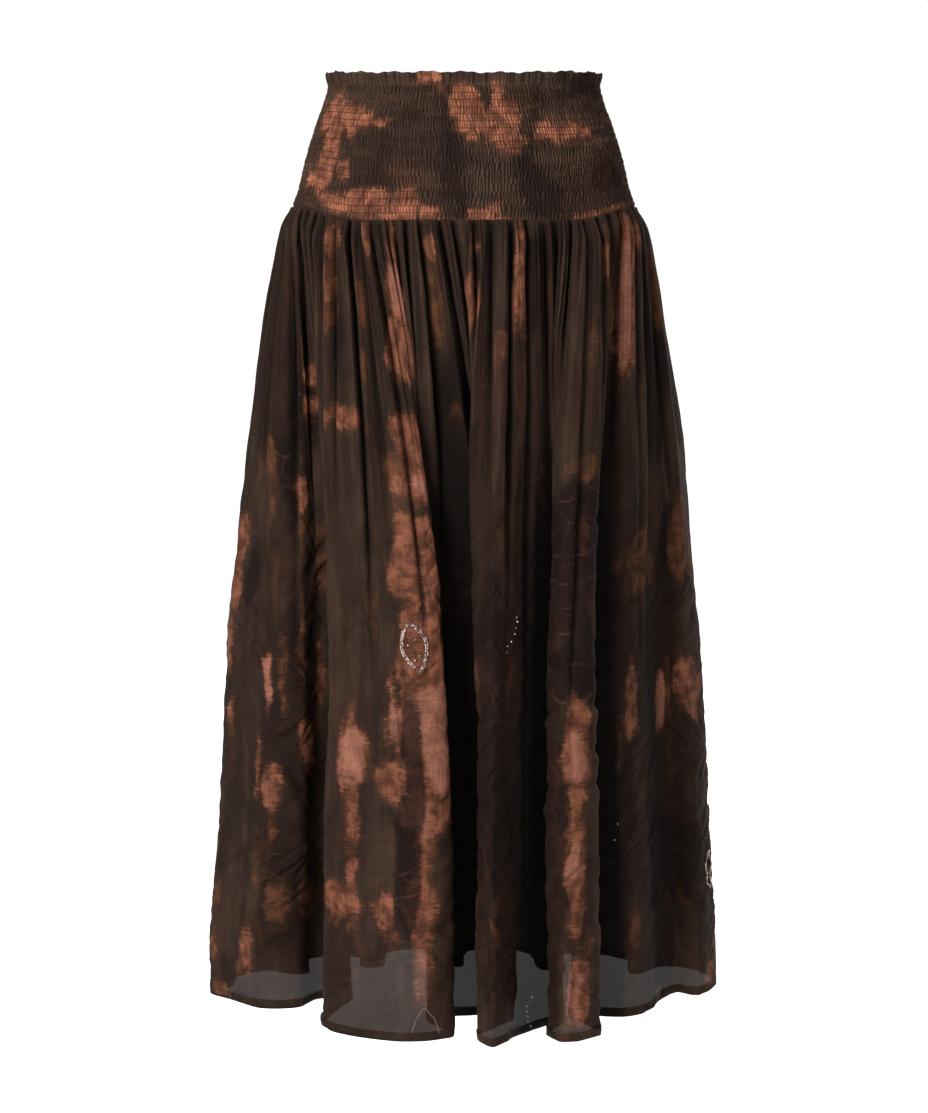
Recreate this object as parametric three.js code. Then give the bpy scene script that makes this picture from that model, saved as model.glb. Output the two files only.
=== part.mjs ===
// Maxi skirt in a crinkled, tie-dyed cloth, held in the shape that it takes when it is worn.
// A shirred yoke with a small frill carries two gathered panels that fall in deep folds to the hem.
// Millimetres. +Z is up, the front faces -Y, and the origin is at the middle of the waist,
// level with the first elastic row, where the skirt is held.
import * as THREE from "three";

// Driving dimensions
const FRILL_HEIGHT = 13; // from the first elastic row to the top edge
const WAIST_RISE = 4; // how much higher the first elastic row lies at the sides
const SEAM_SIDE = -114; // height of the yoke's lower seam at the side seams
const SEAM_DIP = 14.5; // how much lower that seam hangs at the middle of the front and the back
const HEM = -909; // height of the lower edge
const HEM_DEPTH = 9; // the turned hem
const CLOTH = 1.6; // wall of one layer
const HEM_EXTRA = 0.6; // more wall where the hem is turned
const SEAM_GAP = 0.3; // between two pieces that are sewn together
const ELASTIC_ROWS = 19; // rows of elastic stitching in the yoke
const ROW_RELIEF = 0.9; // how far the cloth puffs out between two rows
const FRILL_FLARE = 2; // how far the frill's edge stands out
const FRILL_WAVES = 22; // waves of the frill in one half
const FRILL_WAVE = 1.1; // their height
const GATHERS = 34; // gathers of one panel at the seam
const GATHER_AT_SEAM = 1.6; // half height of a gather where it is sewn in
const GATHER_BELOW = 5.2; // and where it stands freest, a hand below the seam
const GATHER_ROOM = 8; // gathers are lower where the columns of points lie closer than this
const DEEPENING = 1.8; // how soon below the seam the big folds become deep
const PLACING = 3; // how soon they hang straight above their place at the hem

// Outline without its folds: half width and half depth at each height.
const SECTIONS = [
  { z: 13, halfWidth: 135.5, halfDepth: 98 },
  { z: 0, halfWidth: 134.5, halfDepth: 97 },
  { z: -38, halfWidth: 147.4, halfDepth: 107 },
  { z: -67, halfWidth: 156.4, halfDepth: 114 },
  { z: -97, halfWidth: 163.5, halfDepth: 122 },
  { z: -127, halfWidth: 174.6, halfDepth: 131 },
  { z: -156, halfWidth: 182, halfDepth: 143 },
  { z: -216, halfWidth: 194, halfDepth: 158 },
  { z: -306, halfWidth: 209.5, halfDepth: 176 },
  { z: -426, halfWidth: 226, halfDepth: 193 },
  { z: -547, halfWidth: 237, halfDepth: 205 },
  { z: -669, halfWidth: 245.7, halfDepth: 214 },
  { z: -791, halfWidth: 253, halfDepth: 220 },
  { z: -840, halfWidth: 256.5, halfDepth: 222 },
  { z: -909, halfWidth: 257, halfDepth: 224 },
];

// Plan of the hem, fold by fold, from the left side seam round the front to the right one and back behind.
// Each row is one big fold: its left shoulder, its crest, its right shoulder, and the two ends of the
// floor of the hollow that follows it.
const SIDE_LEFT = { x: -257, y: 8 };
const SIDE_RIGHT = { x: 259, y: 46 };
const FRONT_FOLDS = [
  { left: [-240, -17], crest: [-203, -60], right: [-166, -58], hollow: [-146, -22], floor: [-113, -16] },
  { left: [-136, -143], crest: [-62, -203], right: [-10, -180], hollow: [-36, -106], floor: [48, -98] },
  { left: [13, -186], crest: [27, -226], right: [49, -184], hollow: [76, -142], floor: [97, -118] },
  { left: [80, -178], crest: [97, -206], right: [131, -172], hollow: [106, -94], floor: [158, -98] },
  { left: [184, -72], crest: [199, -20], right: [216, 9], hollow: [230, -1], floor: [240, -2] },
];
const BACK_FOLDS = [
  { left: [252, 92], crest: [234, 128], right: [206, 132], hollow: [184, 98], floor: [172, 104] },
  { left: [180, 156], crest: [144, 194], right: [106, 192], hollow: [96, 120], floor: [80, 118] },
  { left: [70, 196], crest: [40, 224], right: [4, 212], hollow: [-2, 134], floor: [-13, 132] },
  { left: [-20, 198], crest: [-52, 222], right: [-82, 204], hollow: [-86, 138], floor: [-106, 130] },
  { left: [-112, 178], crest: [-140, 192], right: [-172, 160], hollow: [-162, 102], floor: [-178, 94] },
  { left: [-206, 114], crest: [-228, 98], right: [-240, 70], hollow: [-237, 46], floor: [-243, 32] },
];
const CORNERS = ["left", "crest", "right", "hollow", "floor"];

// How finely the pieces are made
const PANEL_COLUMNS = GATHERS * 3;
const YOKE_COLUMNS = 22;
const FRILL_COLUMNS = FRILL_WAVES * 3;
const YOKE_INNER_ROWS = 5;
const FRILL_LEVELS = [0.5, 1]; // shares of the frill's height
const PANEL_LEVELS = [0, 0.012, 0.045, 0.1, 0.17, 0.26, 0.38, 0.51, 0.65, 0.79, 0.91]; // shares of the drop

const smoothStep = (from, to, value) => THREE.MathUtils.smoothstep(value, from, to);

// A smooth curve through values at rising knots, by cubic pieces.
function curveThrough(knots, values) {
  const last = knots.length - 1;
  const slopes = knots.map((_, i) => {
    const before = Math.max(i - 1, 0);
    const after = Math.min(i + 1, last);
    return (values[after] - values[before]) / (knots[after] - knots[before]);
  });
  return (at) => {
    let i = 0;
    while (i < last - 1 && at > knots[i + 1]) i += 1;
    const span = knots[i + 1] - knots[i];
    const t = (at - knots[i]) / span;
    const rise = t * t * (3 - 2 * t);
    const leave = t * (1 - t) * (1 - t) * slopes[i];
    const arrive = t * t * (1 - t) * slopes[i + 1];
    return values[i] + (values[i + 1] - values[i]) * rise + (leave - arrive) * span;
  };
}

// Straight steps through values at rising knots.
function stepsThrough(knots, values) {
  return (at) => {
    let i = 0;
    while (i < knots.length - 2 && at > knots[i + 1]) i += 1;
    return values[i] + ((values[i + 1] - values[i]) * (at - knots[i])) / (knots[i + 1] - knots[i]);
  };
}

const heights = SECTIONS.map((row) => -row.z);
const widthCurve = curveThrough(heights, SECTIONS.map((row) => row.halfWidth));
const depthCurve = curveThrough(heights, SECTIONS.map((row) => row.halfDepth));
const hemWidth = widthCurve(-HEM);
const hemDepth = depthCurve(-HEM);

// Height of the yoke's lower seam at an angle from the front middle, in straight steps from one
// column of the yoke to the next, so that the yoke and the panels meet along the same line.
const seamKnots = [];
for (let i = 0; i <= YOKE_COLUMNS / 2; i += 1) seamKnots.push((Math.PI * i) / YOKE_COLUMNS);
const seamSteps = stepsThrough(
  seamKnots,
  seamKnots.map((angle) => SEAM_SIDE - SEAM_DIP * smoothStep(0.35, 0.85, Math.cos(angle))),
);
const seamHeight = (angle) => seamSteps(Math.acos(Math.min(1, Math.abs(Math.cos(angle)))));

// Height of the first elastic row at an angle from the front middle.
const waistHeight = (angle) => WAIST_RISE * Math.sin(angle) ** 2;

// The whole hem as one closed plan. A distance along the cloth, from the left side seam round the front,
// gives the place at the hem and, because the panels are gathered evenly, the angle at the yoke.
function makePlan() {
  const corners = (folds) => folds.flatMap((fold) => CORNERS.map((corner) => fold[corner]));
  const points = [
    [SIDE_LEFT.x, SIDE_LEFT.y],
    ...corners(FRONT_FOLDS),
    [SIDE_RIGHT.x, SIDE_RIGHT.y],
    ...corners(BACK_FOLDS),
  ];
  // Two points more at each end let the smooth curve close on itself.
  const wrapped = [...points.slice(-2), ...points, ...points.slice(0, 3)];
  const distances = [0];
  for (let i = 1; i < wrapped.length; i += 1) {
    const step = Math.hypot(wrapped[i][0] - wrapped[i - 1][0], wrapped[i][1] - wrapped[i - 1][1]);
    distances.push(distances[i - 1] + step);
  }
  const knots = distances.map((distance) => distance - distances[2]);
  const rightSide = knots[2 + 1 + FRONT_FOLDS.length * CORNERS.length];
  const length = knots[2 + points.length];
  return {
    x: curveThrough(knots, wrapped.map((point) => point[0])),
    y: curveThrough(knots, wrapped.map((point) => point[1])),
    angle: stepsThrough([0, rightSide, length], [-Math.PI / 2, Math.PI / 2, (3 * Math.PI) / 2]),
    rightSide,
    length,
  };
}
const plan = makePlan();

// A number from 0 to 1 that is different for each gather.
function unevenness(index) {
  const wave = Math.sin(index * 12.9898 + 4.1) * 43758.5453;
  return wave - Math.floor(wave);
}

// The cloth without gathers: distance along the hem, and share of the drop from seam to hem.
function drapePoint(distance, drop) {
  const angle = plan.angle(distance);
  const top = seamHeight(angle) - SEAM_GAP / 2;
  const z = top + (HEM - top) * drop;
  const halfWidth = widthCurve(-z);
  const halfDepth = depthCurve(-z);
  const deepened = 1 - Math.pow(1 - drop, DEEPENING);
  const placed = 1 - Math.pow(1 - drop, PLACING);
  const hemX = (plan.x(distance) * halfWidth) / hemWidth;
  const hemY = (plan.y(distance) * halfDepth) / hemDepth;
  const x = (1 - placed) * halfWidth * Math.sin(angle) + placed * hemX;
  const y = -(1 - deepened) * halfDepth * Math.cos(angle) + deepened * hemY;
  return new THREE.Vector3(x, y, z);
}

// How far a gather pushes the cloth out at a place on its panel.
function gatherHeight(share, drop) {
  const index = Math.round(share * GATHERS + GATHERS) % GATHERS;
  const fades = 0.3 + 0.4 * unevenness(index);
  const grows = GATHER_AT_SEAM + (GATHER_BELOW - GATHER_AT_SEAM) * smoothStep(0, 0.09, drop);
  const size = grows * (0.75 + 0.5 * unevenness(index + 50));
  return size * (1 - smoothStep(0.14, fades, drop)) * Math.sin(2 * Math.PI * GATHERS * share);
}

// The points of a row moved across the wall, without its two end points, which only give the direction
// there. Positive is outwards, and the row runs left to right seen from outside.
// At each end the row stops short of the side seam by the amount given as short.
function movedRow(row, amountAt, short) {
  const last = row.length - 3;
  return row.slice(1, -1).map((point, i) => {
    const along = new THREE.Vector3(row[i + 2].x - row[i].x, row[i + 2].y - row[i].y, 0).normalize();
    const out = new THREE.Vector3(along.y, -along.x, 0);
    const moved = point.clone().addScaledVector(out, amountAt(i));
    if (i === 0) moved.addScaledVector(along, short);
    if (i === last) moved.addScaledVector(along, -short);
    return moved;
  });
}

// One closed wall between an outer and an inner skin. Each skin is a list of rows from the bottom up,
// each row runs left to right seen from outside, and rows may hold different numbers of points.
function wallMesh(name, outerRows, innerRows, material) {
  const positions = [];
  const triangles = [];
  const numbered = (rows) =>
    rows.map((row) =>
      row.map((point) => {
        positions.push(point.x, point.y, point.z);
        return positions.length / 3 - 1;
      }),
    );
  const fill = (lower, upper) => {
    let i = 0;
    let j = 0;
    while (i < lower.length - 1 || j < upper.length - 1) {
      const lowerNext = (i + 1) / (lower.length - 1);
      const upperNext = (j + 1) / (upper.length - 1);
      if (j === upper.length - 1 || (i < lower.length - 1 && lowerNext <= upperNext)) {
        triangles.push(lower[i], lower[i + 1], upper[j]);
        i += 1;
      } else {
        triangles.push(lower[i], upper[j + 1], upper[j]);
        j += 1;
      }
    }
  };
  const outer = numbered(outerRows);
  const inner = numbered(innerRows);
  for (let i = 1; i < outer.length; i += 1) fill(outer[i - 1], outer[i]);
  for (let i = 1; i < inner.length; i += 1) fill(inner[i], inner[i - 1]);
  fill(inner[0], outer[0]);
  fill(outer.at(-1), inner.at(-1));
  fill(outer.map((row) => row[0]), inner.map((row) => row[0]));
  fill(inner.map((row) => row.at(-1)), outer.map((row) => row.at(-1)));
  const geometry = new THREE.BufferGeometry();
  geometry.setAttribute("position", new THREE.Float32BufferAttribute(positions, 3));
  geometry.setIndex(triangles);
  geometry.computeVertexNormals();
  const mesh = new THREE.Mesh(geometry, material);
  mesh.name = name;
  return mesh;
}

// A gathered panel between two places along the hem.
function skirtPanel(name, from, to, material) {
  // A row may run past both side seams by some spare columns.
  const outerRow = (drop, spare) => {
    const smooth = [];
    for (let i = -spare - 1; i <= PANEL_COLUMNS + spare + 1; i += 1) {
      smooth.push(drapePoint(from + ((to - from) * i) / PANEL_COLUMNS, drop));
    }
    const room = (i) => Math.min(1, smooth[i].distanceTo(smooth[i + 2]) / 2 / GATHER_ROOM);
    const gathered = (i) => room(i) * gatherHeight((i - spare) / PANEL_COLUMNS, drop);
    return movedRow(smooth, gathered, spare > 0 ? 0 : SEAM_GAP / 2);
  };
  const hemShare = HEM_DEPTH / (SEAM_SIDE - HEM);
  const drops = [...PANEL_LEVELS, 1 - hemShare, 1 - hemShare * 0.9, 1].reverse();
  const wallAt = (drop) => CLOTH + (drop > 1 - hemShare * 0.95 ? HEM_EXTRA : 0);
  const outerRows = drops.map((drop) => outerRow(drop, 0));
  const innerRows = drops.map((drop) => movedRow(outerRow(drop, 1), () => -wallAt(drop), SEAM_GAP / 2));
  return wallMesh(name, outerRows, innerRows, material);
}

// A row of the yoke or frill: places on the plain outline between two angles, moved outwards.
function outlineRow(from, to, columns, heightAt, outwardsAt) {
  const row = [];
  for (let i = -1; i <= columns + 1; i += 1) {
    const angle = from + ((to - from) * i) / columns;
    const z = heightAt(angle);
    const x = widthCurve(-z) * Math.sin(angle);
    row.push(new THREE.Vector3(x, -depthCurve(-z) * Math.cos(angle), z));
  }
  return movedRow(row, outwardsAt, SEAM_GAP / 2);
}

// One half of the yoke with its frill, between two angles.
function yokeHalf(name, from, to, material) {
  const yokeRow = (share, outwards) => {
    const seam = (angle) => (seamHeight(angle) + SEAM_GAP / 2) * share;
    const height = (angle) => seam(angle) + waistHeight(angle) * (1 - share);
    return outlineRow(from, to, YOKE_COLUMNS, height, () => outwards);
  };
  const frillRow = (share, outwards) => {
    const uneven = (i) => FRILL_WAVE * share * Math.sin((2 * Math.PI * i) / 3) * (0.5 + unevenness(i));
    const move = (i) => outwards + FRILL_FLARE * share * share + uneven(i);
    const height = (angle) => waistHeight(angle) + FRILL_HEIGHT * share;
    return outlineRow(from, to, FRILL_COLUMNS, height, move);
  };
  const outerRows = [];
  const halfRows = ELASTIC_ROWS * 2;
  for (let i = halfRows; i >= 0; i -= 1) outerRows.push(yokeRow(i / halfRows, (i % 2) * ROW_RELIEF));
  const innerRows = [];
  for (let i = YOKE_INNER_ROWS; i >= 0; i -= 1) innerRows.push(yokeRow(i / YOKE_INNER_ROWS, -CLOTH));
  FRILL_LEVELS.forEach((share) => {
    outerRows.push(frillRow(share, 0));
    innerRows.push(frillRow(share, -CLOTH));
  });
  return wallMesh(name, outerRows, innerRows, material);
}

const yokeCloth = new THREE.MeshStandardMaterial({ color: 0x4a3a30, roughness: 0.85, metalness: 0 });
const skirtCloth = new THREE.MeshStandardMaterial({ color: 0x3e332b, roughness: 0.8, metalness: 0 });

const quarter = Math.PI / 2;
const skirt = new THREE.Group();
skirt.add(yokeHalf("yoke_front", -quarter, quarter, yokeCloth));
skirt.add(yokeHalf("yoke_back", quarter, 3 * quarter, yokeCloth));
skirt.add(skirtPanel("skirt_front", 0, plan.rightSide, skirtCloth));
skirt.add(skirtPanel("skirt_back", plan.rightSide, plan.length, skirtCloth));

export default skirt;
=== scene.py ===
"""Maxi skirt with a shirred yoke: the looks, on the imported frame."""
import math

import bpy
import numpy as np
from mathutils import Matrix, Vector, noise


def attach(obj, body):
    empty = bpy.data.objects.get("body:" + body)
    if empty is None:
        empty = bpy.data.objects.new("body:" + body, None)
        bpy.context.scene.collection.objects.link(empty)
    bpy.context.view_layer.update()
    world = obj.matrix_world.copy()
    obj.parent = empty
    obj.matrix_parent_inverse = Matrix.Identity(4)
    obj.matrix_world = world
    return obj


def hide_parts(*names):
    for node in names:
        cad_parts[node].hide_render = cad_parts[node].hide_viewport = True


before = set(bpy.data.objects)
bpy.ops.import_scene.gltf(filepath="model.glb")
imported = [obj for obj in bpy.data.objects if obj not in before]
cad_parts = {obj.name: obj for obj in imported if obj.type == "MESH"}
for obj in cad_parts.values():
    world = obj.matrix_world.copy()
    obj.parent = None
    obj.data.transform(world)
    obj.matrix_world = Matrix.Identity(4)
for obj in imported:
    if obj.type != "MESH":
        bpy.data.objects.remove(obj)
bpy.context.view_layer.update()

bl_info = {
    "name": "Shirred maxi skirt",
    "version": (1, 0, 0),
    "blender": (4, 5, 0),
    "location": "3D View > Sidebar > Skirt",
    "description": "Tie-dyed maxi skirt with a shirred yoke, gathered panels and beaded leaves",
    "category": "Add Mesh",
}

# Lengths in the tables are millimetres, as a maker writes them.
MM = 0.001

# The garment's sizes, the same as its solids have
FRILL_HEIGHT = 13.0
WAIST_RISE = 4.0  # the first elastic row lies this much higher at the sides
SEAM_SIDE = -114.0  # height of the yoke's lower seam at the sides
SEAM_DIP = 14.5  # and how much lower it is at the middle of the front and back
HEM = -909.0
HEM_DEPTH = 9.0
SEAM_GAP = 0.3
SIDE_GAP = 0.02
DEEPENING = 1.8  # how soon below the seam the big folds become deep
PLACING = 3.0  # how soon they hang straight above their place at the hem
ELASTIC_ROWS = 19
SEAM_STEPS = 11  # straight steps of the seam line in a quarter of the round

# The outline without folds: height, half width, half depth
SECTIONS = [
    (13, 135.5, 98),
    (0, 134.5, 97),
    (-38, 147.4, 107),
    (-67, 156.4, 114),
    (-97, 163.5, 122),
    (-127, 174.6, 131),
    (-156, 182, 143),
    (-216, 194, 158),
    (-306, 209.5, 176),
    (-426, 226, 193),
    (-547, 237, 205),
    (-669, 245.7, 214),
    (-791, 253, 220),
    (-840, 256.5, 222),
    (-909, 257, 224),
]

# Plan of the big folds at the hem, x and y, from the left side seam round the front, then the back.
# Each row: left shoulder, crest, right shoulder, and the two ends of the hollow's floor after it
SIDE_LEFT = (-257, 8)
SIDE_RIGHT = (259, 46)
FRONT_FOLDS = [
    ((-240, -17), (-203, -60), (-166, -58), (-146, -22), (-113, -16)),
    ((-136, -143), (-62, -203), (-10, -180), (-36, -106), (48, -98)),
    ((13, -186), (27, -226), (49, -184), (76, -142), (97, -118)),
    ((80, -178), (97, -206), (131, -172), (106, -94), (158, -98)),
    ((184, -72), (199, -20), (216, 9), (230, -1), (240, -2)),
]
BACK_FOLDS = [
    ((252, 92), (234, 128), (206, 132), (184, 98), (172, 104)),
    ((180, 156), (144, 194), (106, 192), (96, 120), (80, 118)),
    ((70, 196), (40, 224), (4, 212), (-2, 134), (-13, 132)),
    ((-20, 198), (-52, 222), (-82, 204), (-86, 138), (-106, 130)),
    ((-112, 178), (-140, 192), (-172, 160), (-162, 102), (-178, 94)),
    ((-206, 114), (-228, 98), (-240, 70), (-237, 46), (-243, 32)),
]

# How strongly shade is painted into each of the front's hollows, from the first on the left, and
# into those of the back
FRONT_HOLLOW_PAINTED_SHADE = (0.3, 1.0, 1.6, 1.4, 0.5)
BACK_HOLLOW_PAINTED_SHADE = 0.7
# The recesses behind the folds are measured so, for the shade painted into them
RECESS_REACH = 23  # degrees to each side in which a recess is measured against the folds
RECESS_SMOOTHING = 13  # degrees
RECESS_SIZE = 210.0  # millimetres behind for a whole radius

# The long valleys of the front's gathers, left to right: place across the panel in thousandths,
# depth, and how far down the valley reaches
FRONT_VALLEYS = [
    (0, 10, 260),
    (42, 13, 330),
    (84, 12, 420),
    (118, 14, 300),
    (152, 16, 460),
    (186, 13, 260),
    (214, 16, 380),
    (250, 17, 300),
    (286, 20, 480),
    (305, 15, 390),
    (328, 19, 430),
    (344, 10, 60),
    (362, 15, 190),
    (375, 17, 330),
    (398, 18, 300),
    (422, 20, 360),
    (456, 24, 520),
    (481, 18, 420),
    (519, 20, 560),
    (549, 17, 300),
    (582, 20, 430),
    (611, 24, 600),
    (640, 13, 220),
    (664, 19, 380),
    (699, 16, 330),
    (731, 21, 520),
    (765, 18, 360),
    (805, 20, 480),
    (840, 14, 260),
    (879, 19, 430),
    (918, 14, 330),
    (958, 13, 380),
    (1000, 10, 260),
]
FINE_FRONT = 74
FINE_BACK = 70
BACK_GATHERS = 36

# Points of the sheets
PANEL_COLUMNS = 520
PANEL_ROWS = 188
TURNED_ROWS = 4  # rows of points in the turned hem
HEM_INSIDE = (0.9, 0.7)  # how far inside the panel its turned hem lies, from sewn edge to fold
HEM_TURN = 1 - HEM_DEPTH / 795  # share of the drop at which the turned hem's edge is sewn
YOKE_COLUMNS = 650
YOKE_ROWS = 126
FRILL_POINTS = 11
SEAM_PUFF = 1.5  # how far the gathered cloth puffs out just below the yoke's seam
SEAM_LIP = 0.5  # and how far its upper edge stands outside the yoke's
BROAD_CRUMPLE = 3.0
MIDDLE_CRUMPLE = 1.2
FINE_CRUMPLE = 0.4
SLANT_HEIGHT = 2.0
CREASE_STRENGTH = 2.1  # depth of a crease against its depth in the table
PUCKER_PITCH = 3.0
PUCKER_DEPTH = 2.1
FRILL_PITCH = 9.5
FRILL_FLARE = 1.2
YOKE_TUCK = 0.7  # how far the yoke's lower edge is tucked down and in, behind the skirt's gathers

# The front view: where the camera stands, in millimetres, and where it looks
VIEW_DISTANCE = 3190.0
VIEW_HEIGHT = -191.3
VIEW_TILT = 4.86
VIEW_COLUMN = 464.0
VIEW_ROW = 556.5
VIEW_ROWS = 1113  # rows of the view, each a millimetre high at the garment's middle
SENSOR = 36  # millimetres
FLOOR = -1.06  # metres

# The dye's colours and the look of the cloth
DYE_COLOURS = ("Olive", "Lit olive", "Plum", "Brown", "Dark rust", "Rust", "Pale rust", "Ochre")
EDGE_MEAN = 1.92  # what the three weighted noises of a bleeding edge come to on average
LADDER_LINES = 37.0  # ladder lines in a metre of cloth
GATHERED_SHADE = 0.94  # how dark the shade painted into the closed valleys of the gathers is
SHIRRED_SHADE = 0.78  # and that painted between the yoke's puckers
# The yoke's dye is painted this much lighter than the same dye on the skirt: painted light
YOKE_PAINTED_LIGHT = (1.75, 1.75, 1.75, 1)
VOILE_COVER = 0.978  # share of the light that one layer of voile holds back
DYE_KINDS = ("rust", "pale", "ochre", "plum", "brown", "net", "band")
PATCH_CURVE = 2.0  # how square the patches are: 1 a diamond, 2 an ellipse
LARGE_PATCH = 11.0  # from this half width on, a patch's edge is bent by the broader noise
BEND_SIZES = ((13, 30), (26, 70))  # width and height of the forms of the finer and the broader one
BEND_ACROSS = 0.6  # how far a patch's sides are bent, as a share of its half width
BEND_DOWN = 0.4  # and its ends, as a share of its half height
OUTSIDE = -30.0  # depth of a place far from every patch

# The dye, as the front view shows it: left, right, top and bottom of each patch, and its kind.
# A column and a row of the view are a millimetre each, and the waist is at row 94.
SKIRT_DYE = [
    (329, 342, 220, 262, "rust"),
    (324, 337, 256, 300, "rust"),
    (323, 338, 285, 330, "ochre"),
    (363, 373, 220, 256, "rust"),
    (358, 370, 278, 335, "ochre"),
    (360, 368, 344, 379, "ochre"),
    (387, 400, 221, 262, "rust"),
    (388, 404, 256, 327, "rust"),
    (390, 402, 262, 318, "pale"),
    (393, 414, 322, 388, "rust"),
    (424, 438, 229, 262, "rust"),
    (425, 440, 256, 337, "ochre"),
    (467, 481, 227, 264, "rust"),
    (464, 480, 260, 330, "rust"),
    (513, 523, 224, 325, "rust"),
    (516, 524, 300, 350, "ochre"),
    (604, 636, 213, 226, "rust"),
    (593, 612, 224, 290, "ochre"),
    (594, 608, 244, 276, "rust"),
    (598, 610, 280, 365, "ochre"),
    (612, 633, 222, 384, "rust"),
    (614, 631, 250, 376, "pale"),
    (628, 641, 222, 248, "rust"),
    (641, 665, 250, 335, "ochre"),
    (587, 593, 300, 362, "ochre"),
    (491, 506, 328, 368, "ochre"),
    (449, 462, 402, 428, "ochre"),
    (518, 527, 345, 392, "ochre"),
    (300, 321, 366, 386, "rust"),
    (300, 321, 395, 415, "rust"),
    (328, 367, 405, 436, "rust"),
    (334, 345, 398, 440, "ochre"),
    (401, 421, 413, 462, "rust"),
    (521, 554, 222, 335, "plum"),
    (634, 662, 246, 470, "plum"),
    (600, 613, 330, 480, "plum"),
    (440, 472, 335, 432, "plum"),
    (292, 320, 365, 445, "net"),
    (288, 322, 360, 450, "plum"),
    # from the knee up, left
    (236, 248, 514, 560, "rust"),
    (231, 243, 552, 632, "rust"),
    (225, 236, 620, 672, "rust"),
    (264, 277, 436, 490, "ochre"),
    (265, 275, 494, 530, "ochre"),
    (246, 261, 536, 620, "plum"),
    (279, 314, 436, 515, "plum"),
    (281, 312, 440, 512, "net"),
    (294, 307, 470, 508, "rust"),
    (298, 305, 512, 556, "ochre"),
    (297, 306, 572, 676, "ochre"),
    (262, 271, 660, 720, "pale"),
    (262, 271, 658, 722, "rust"),
    (277, 289, 622, 730, "ochre"),
    (254, 261, 722, 800, "rust"),
    (222, 233, 694, 734, "rust"),
    (299, 314, 712, 774, "rust"),
    (260, 272, 762, 790, "rust"),
    (284, 318, 560, 700, "plum"),
    # the middle fold
    (319, 328, 512, 600, "ochre"),
    (316, 325, 640, 710, "rust"),
    (315, 321, 700, 740, "ochre"),
    (384, 401, 448, 497, "ochre"),
    (393, 411, 474, 497, "rust"),
    (412, 427, 446, 512, "rust"),
    (414, 425, 470, 498, "pale"),
    (423, 435, 462, 500, "ochre"),
    (391, 421, 512, 532, "rust"),
    (394, 405, 500, 562, "ochre"),
    (420, 444, 516, 538, "rust"),
    (396, 419, 520, 628, "rust"),
    (415, 453, 524, 612, "rust"),
    (420, 445, 545, 604, "rust"),
    (436, 456, 560, 625, "ochre"),
    (402, 440, 590, 650, "rust"),
    (396, 410, 640, 692, "ochre"),
    (426, 447, 636, 692, "rust"),
    (386, 404, 674, 764, "rust"),
    (387, 401, 680, 748, "pale"),
    (427, 457, 668, 762, "rust"),
    (429, 455, 676, 756, "pale"),
    (421, 454, 738, 832, "rust"),
    (425, 451, 742, 800, "pale"),
    (417, 434, 800, 852, "rust"),
    (420, 430, 800, 842, "pale"),
    (416, 430, 838, 900, "ochre"),
    (414, 427, 845, 892, "rust"),
    (408, 434, 886, 948, "rust"),
    (413, 435, 930, 1004, "ochre"),
    (415, 430, 940, 1042, "rust"),
    (414.5, 421, 470, 634, "band"),
    (400, 428, 674, 830, "band"),
    (397, 419, 742, 940, "band"),
    (392, 420, 790, 950, "plum"),
    (393, 430, 738, 950, "net"),
    (348, 355, 704, 742, "rust"),
    (340, 365, 722, 790, "rust"),
    (343, 363, 730, 786, "pale"),
    (346, 360, 776, 850, "ochre"),
    (348, 358, 782, 862, "rust"),
    (346, 361, 850, 930, "rust"),
    (322, 345, 884, 916, "rust"),
    (326, 340, 905, 930, "ochre"),
    (370, 394, 890, 934, "rust"),
    (384, 400, 930, 960, "ochre"),
    # lower left
    (262, 278, 766, 812, "rust"),
    (267, 276, 800, 856, "ochre"),
    (256, 291, 820, 884, "plum"),
    (254, 292, 816, 906, "net"),
    (253, 259, 864, 900, "ochre"),
    (265, 289, 870, 918, "ochre"),
    (240, 252, 924, 968, "rust"),
    (236, 246, 956, 980, "ochre"),
    (213, 222, 880, 912, "ochre"),
    (210, 220, 926, 956, "rust"),
    (213, 236, 983, 998, "rust"),
    (297, 315, 878, 918, "ochre"),
    # right of the middle
    (480, 504, 574, 690, "plum"),
    (472, 480, 650, 700, "ochre"),
    (491, 501, 894, 946, "ochre"),
    (539, 550, 452, 518, "ochre"),
    (566, 598, 456, 480, "ochre"),
    (544, 598, 484, 716, "plum"),
    (543, 600, 490, 724, "net"),
    (570, 591, 694, 738, "rust"),
    (563, 590, 728, 796, "rust"),
    (568, 584, 736, 784, "pale"),
    (567, 578, 780, 850, "rust"),
    (563, 585, 800, 850, "ochre"),
    (565, 586, 838, 902, "rust"),
    (568, 579, 850, 890, "pale"),
    (570, 584, 890, 950, "rust"),
    (568, 592, 936, 1036, "rust"),
    (573, 586, 960, 1020, "pale"),
    (627, 639, 654, 730, "rust"),
    (653, 664, 674, 734, "pale"),
    (652, 664, 672, 736, "rust"),
    (659, 673, 660, 720, "ochre"),
    (684, 702, 654, 720, "rust"),
    (629, 658, 520, 592, "ochre"),
    (676, 692, 495, 582, "ochre"),
    (656, 692, 510, 606, "plum"),
    (617, 624, 700, 830, "ochre"),
    (606, 628, 796, 905, "plum"),
    (675, 683, 876, 898, "ochre"),
    (629, 642, 910, 950, "ochre"),
    (705, 717, 962, 984, "rust"),
    (656, 663, 983, 1004, "rust"),
    (470, 500, 700, 900, "plum"),
    (640, 700, 800, 900, "plum"),
    # broad warm brown, mostly right of the middle
    (468, 545, 330, 1040, "brown"),
    (526, 560, 226, 330, "brown"),
    (528, 564, 460, 1030, "brown"),
    (590, 612, 460, 1030, "brown"),
    (618, 660, 440, 1000, "brown"),
    (650, 716, 560, 980, "brown"),
    (256, 316, 470, 990, "brown"),
    (242, 320, 240, 470, "brown"),
    (334, 350, 260, 420, "brown"),
    (372, 384, 300, 460, "brown"),
    (322, 350, 920, 1030, "brown"),
    (345, 420, 1000, 1040, "brown"),
    (404, 418, 780, 1000, "brown"),
]

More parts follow.
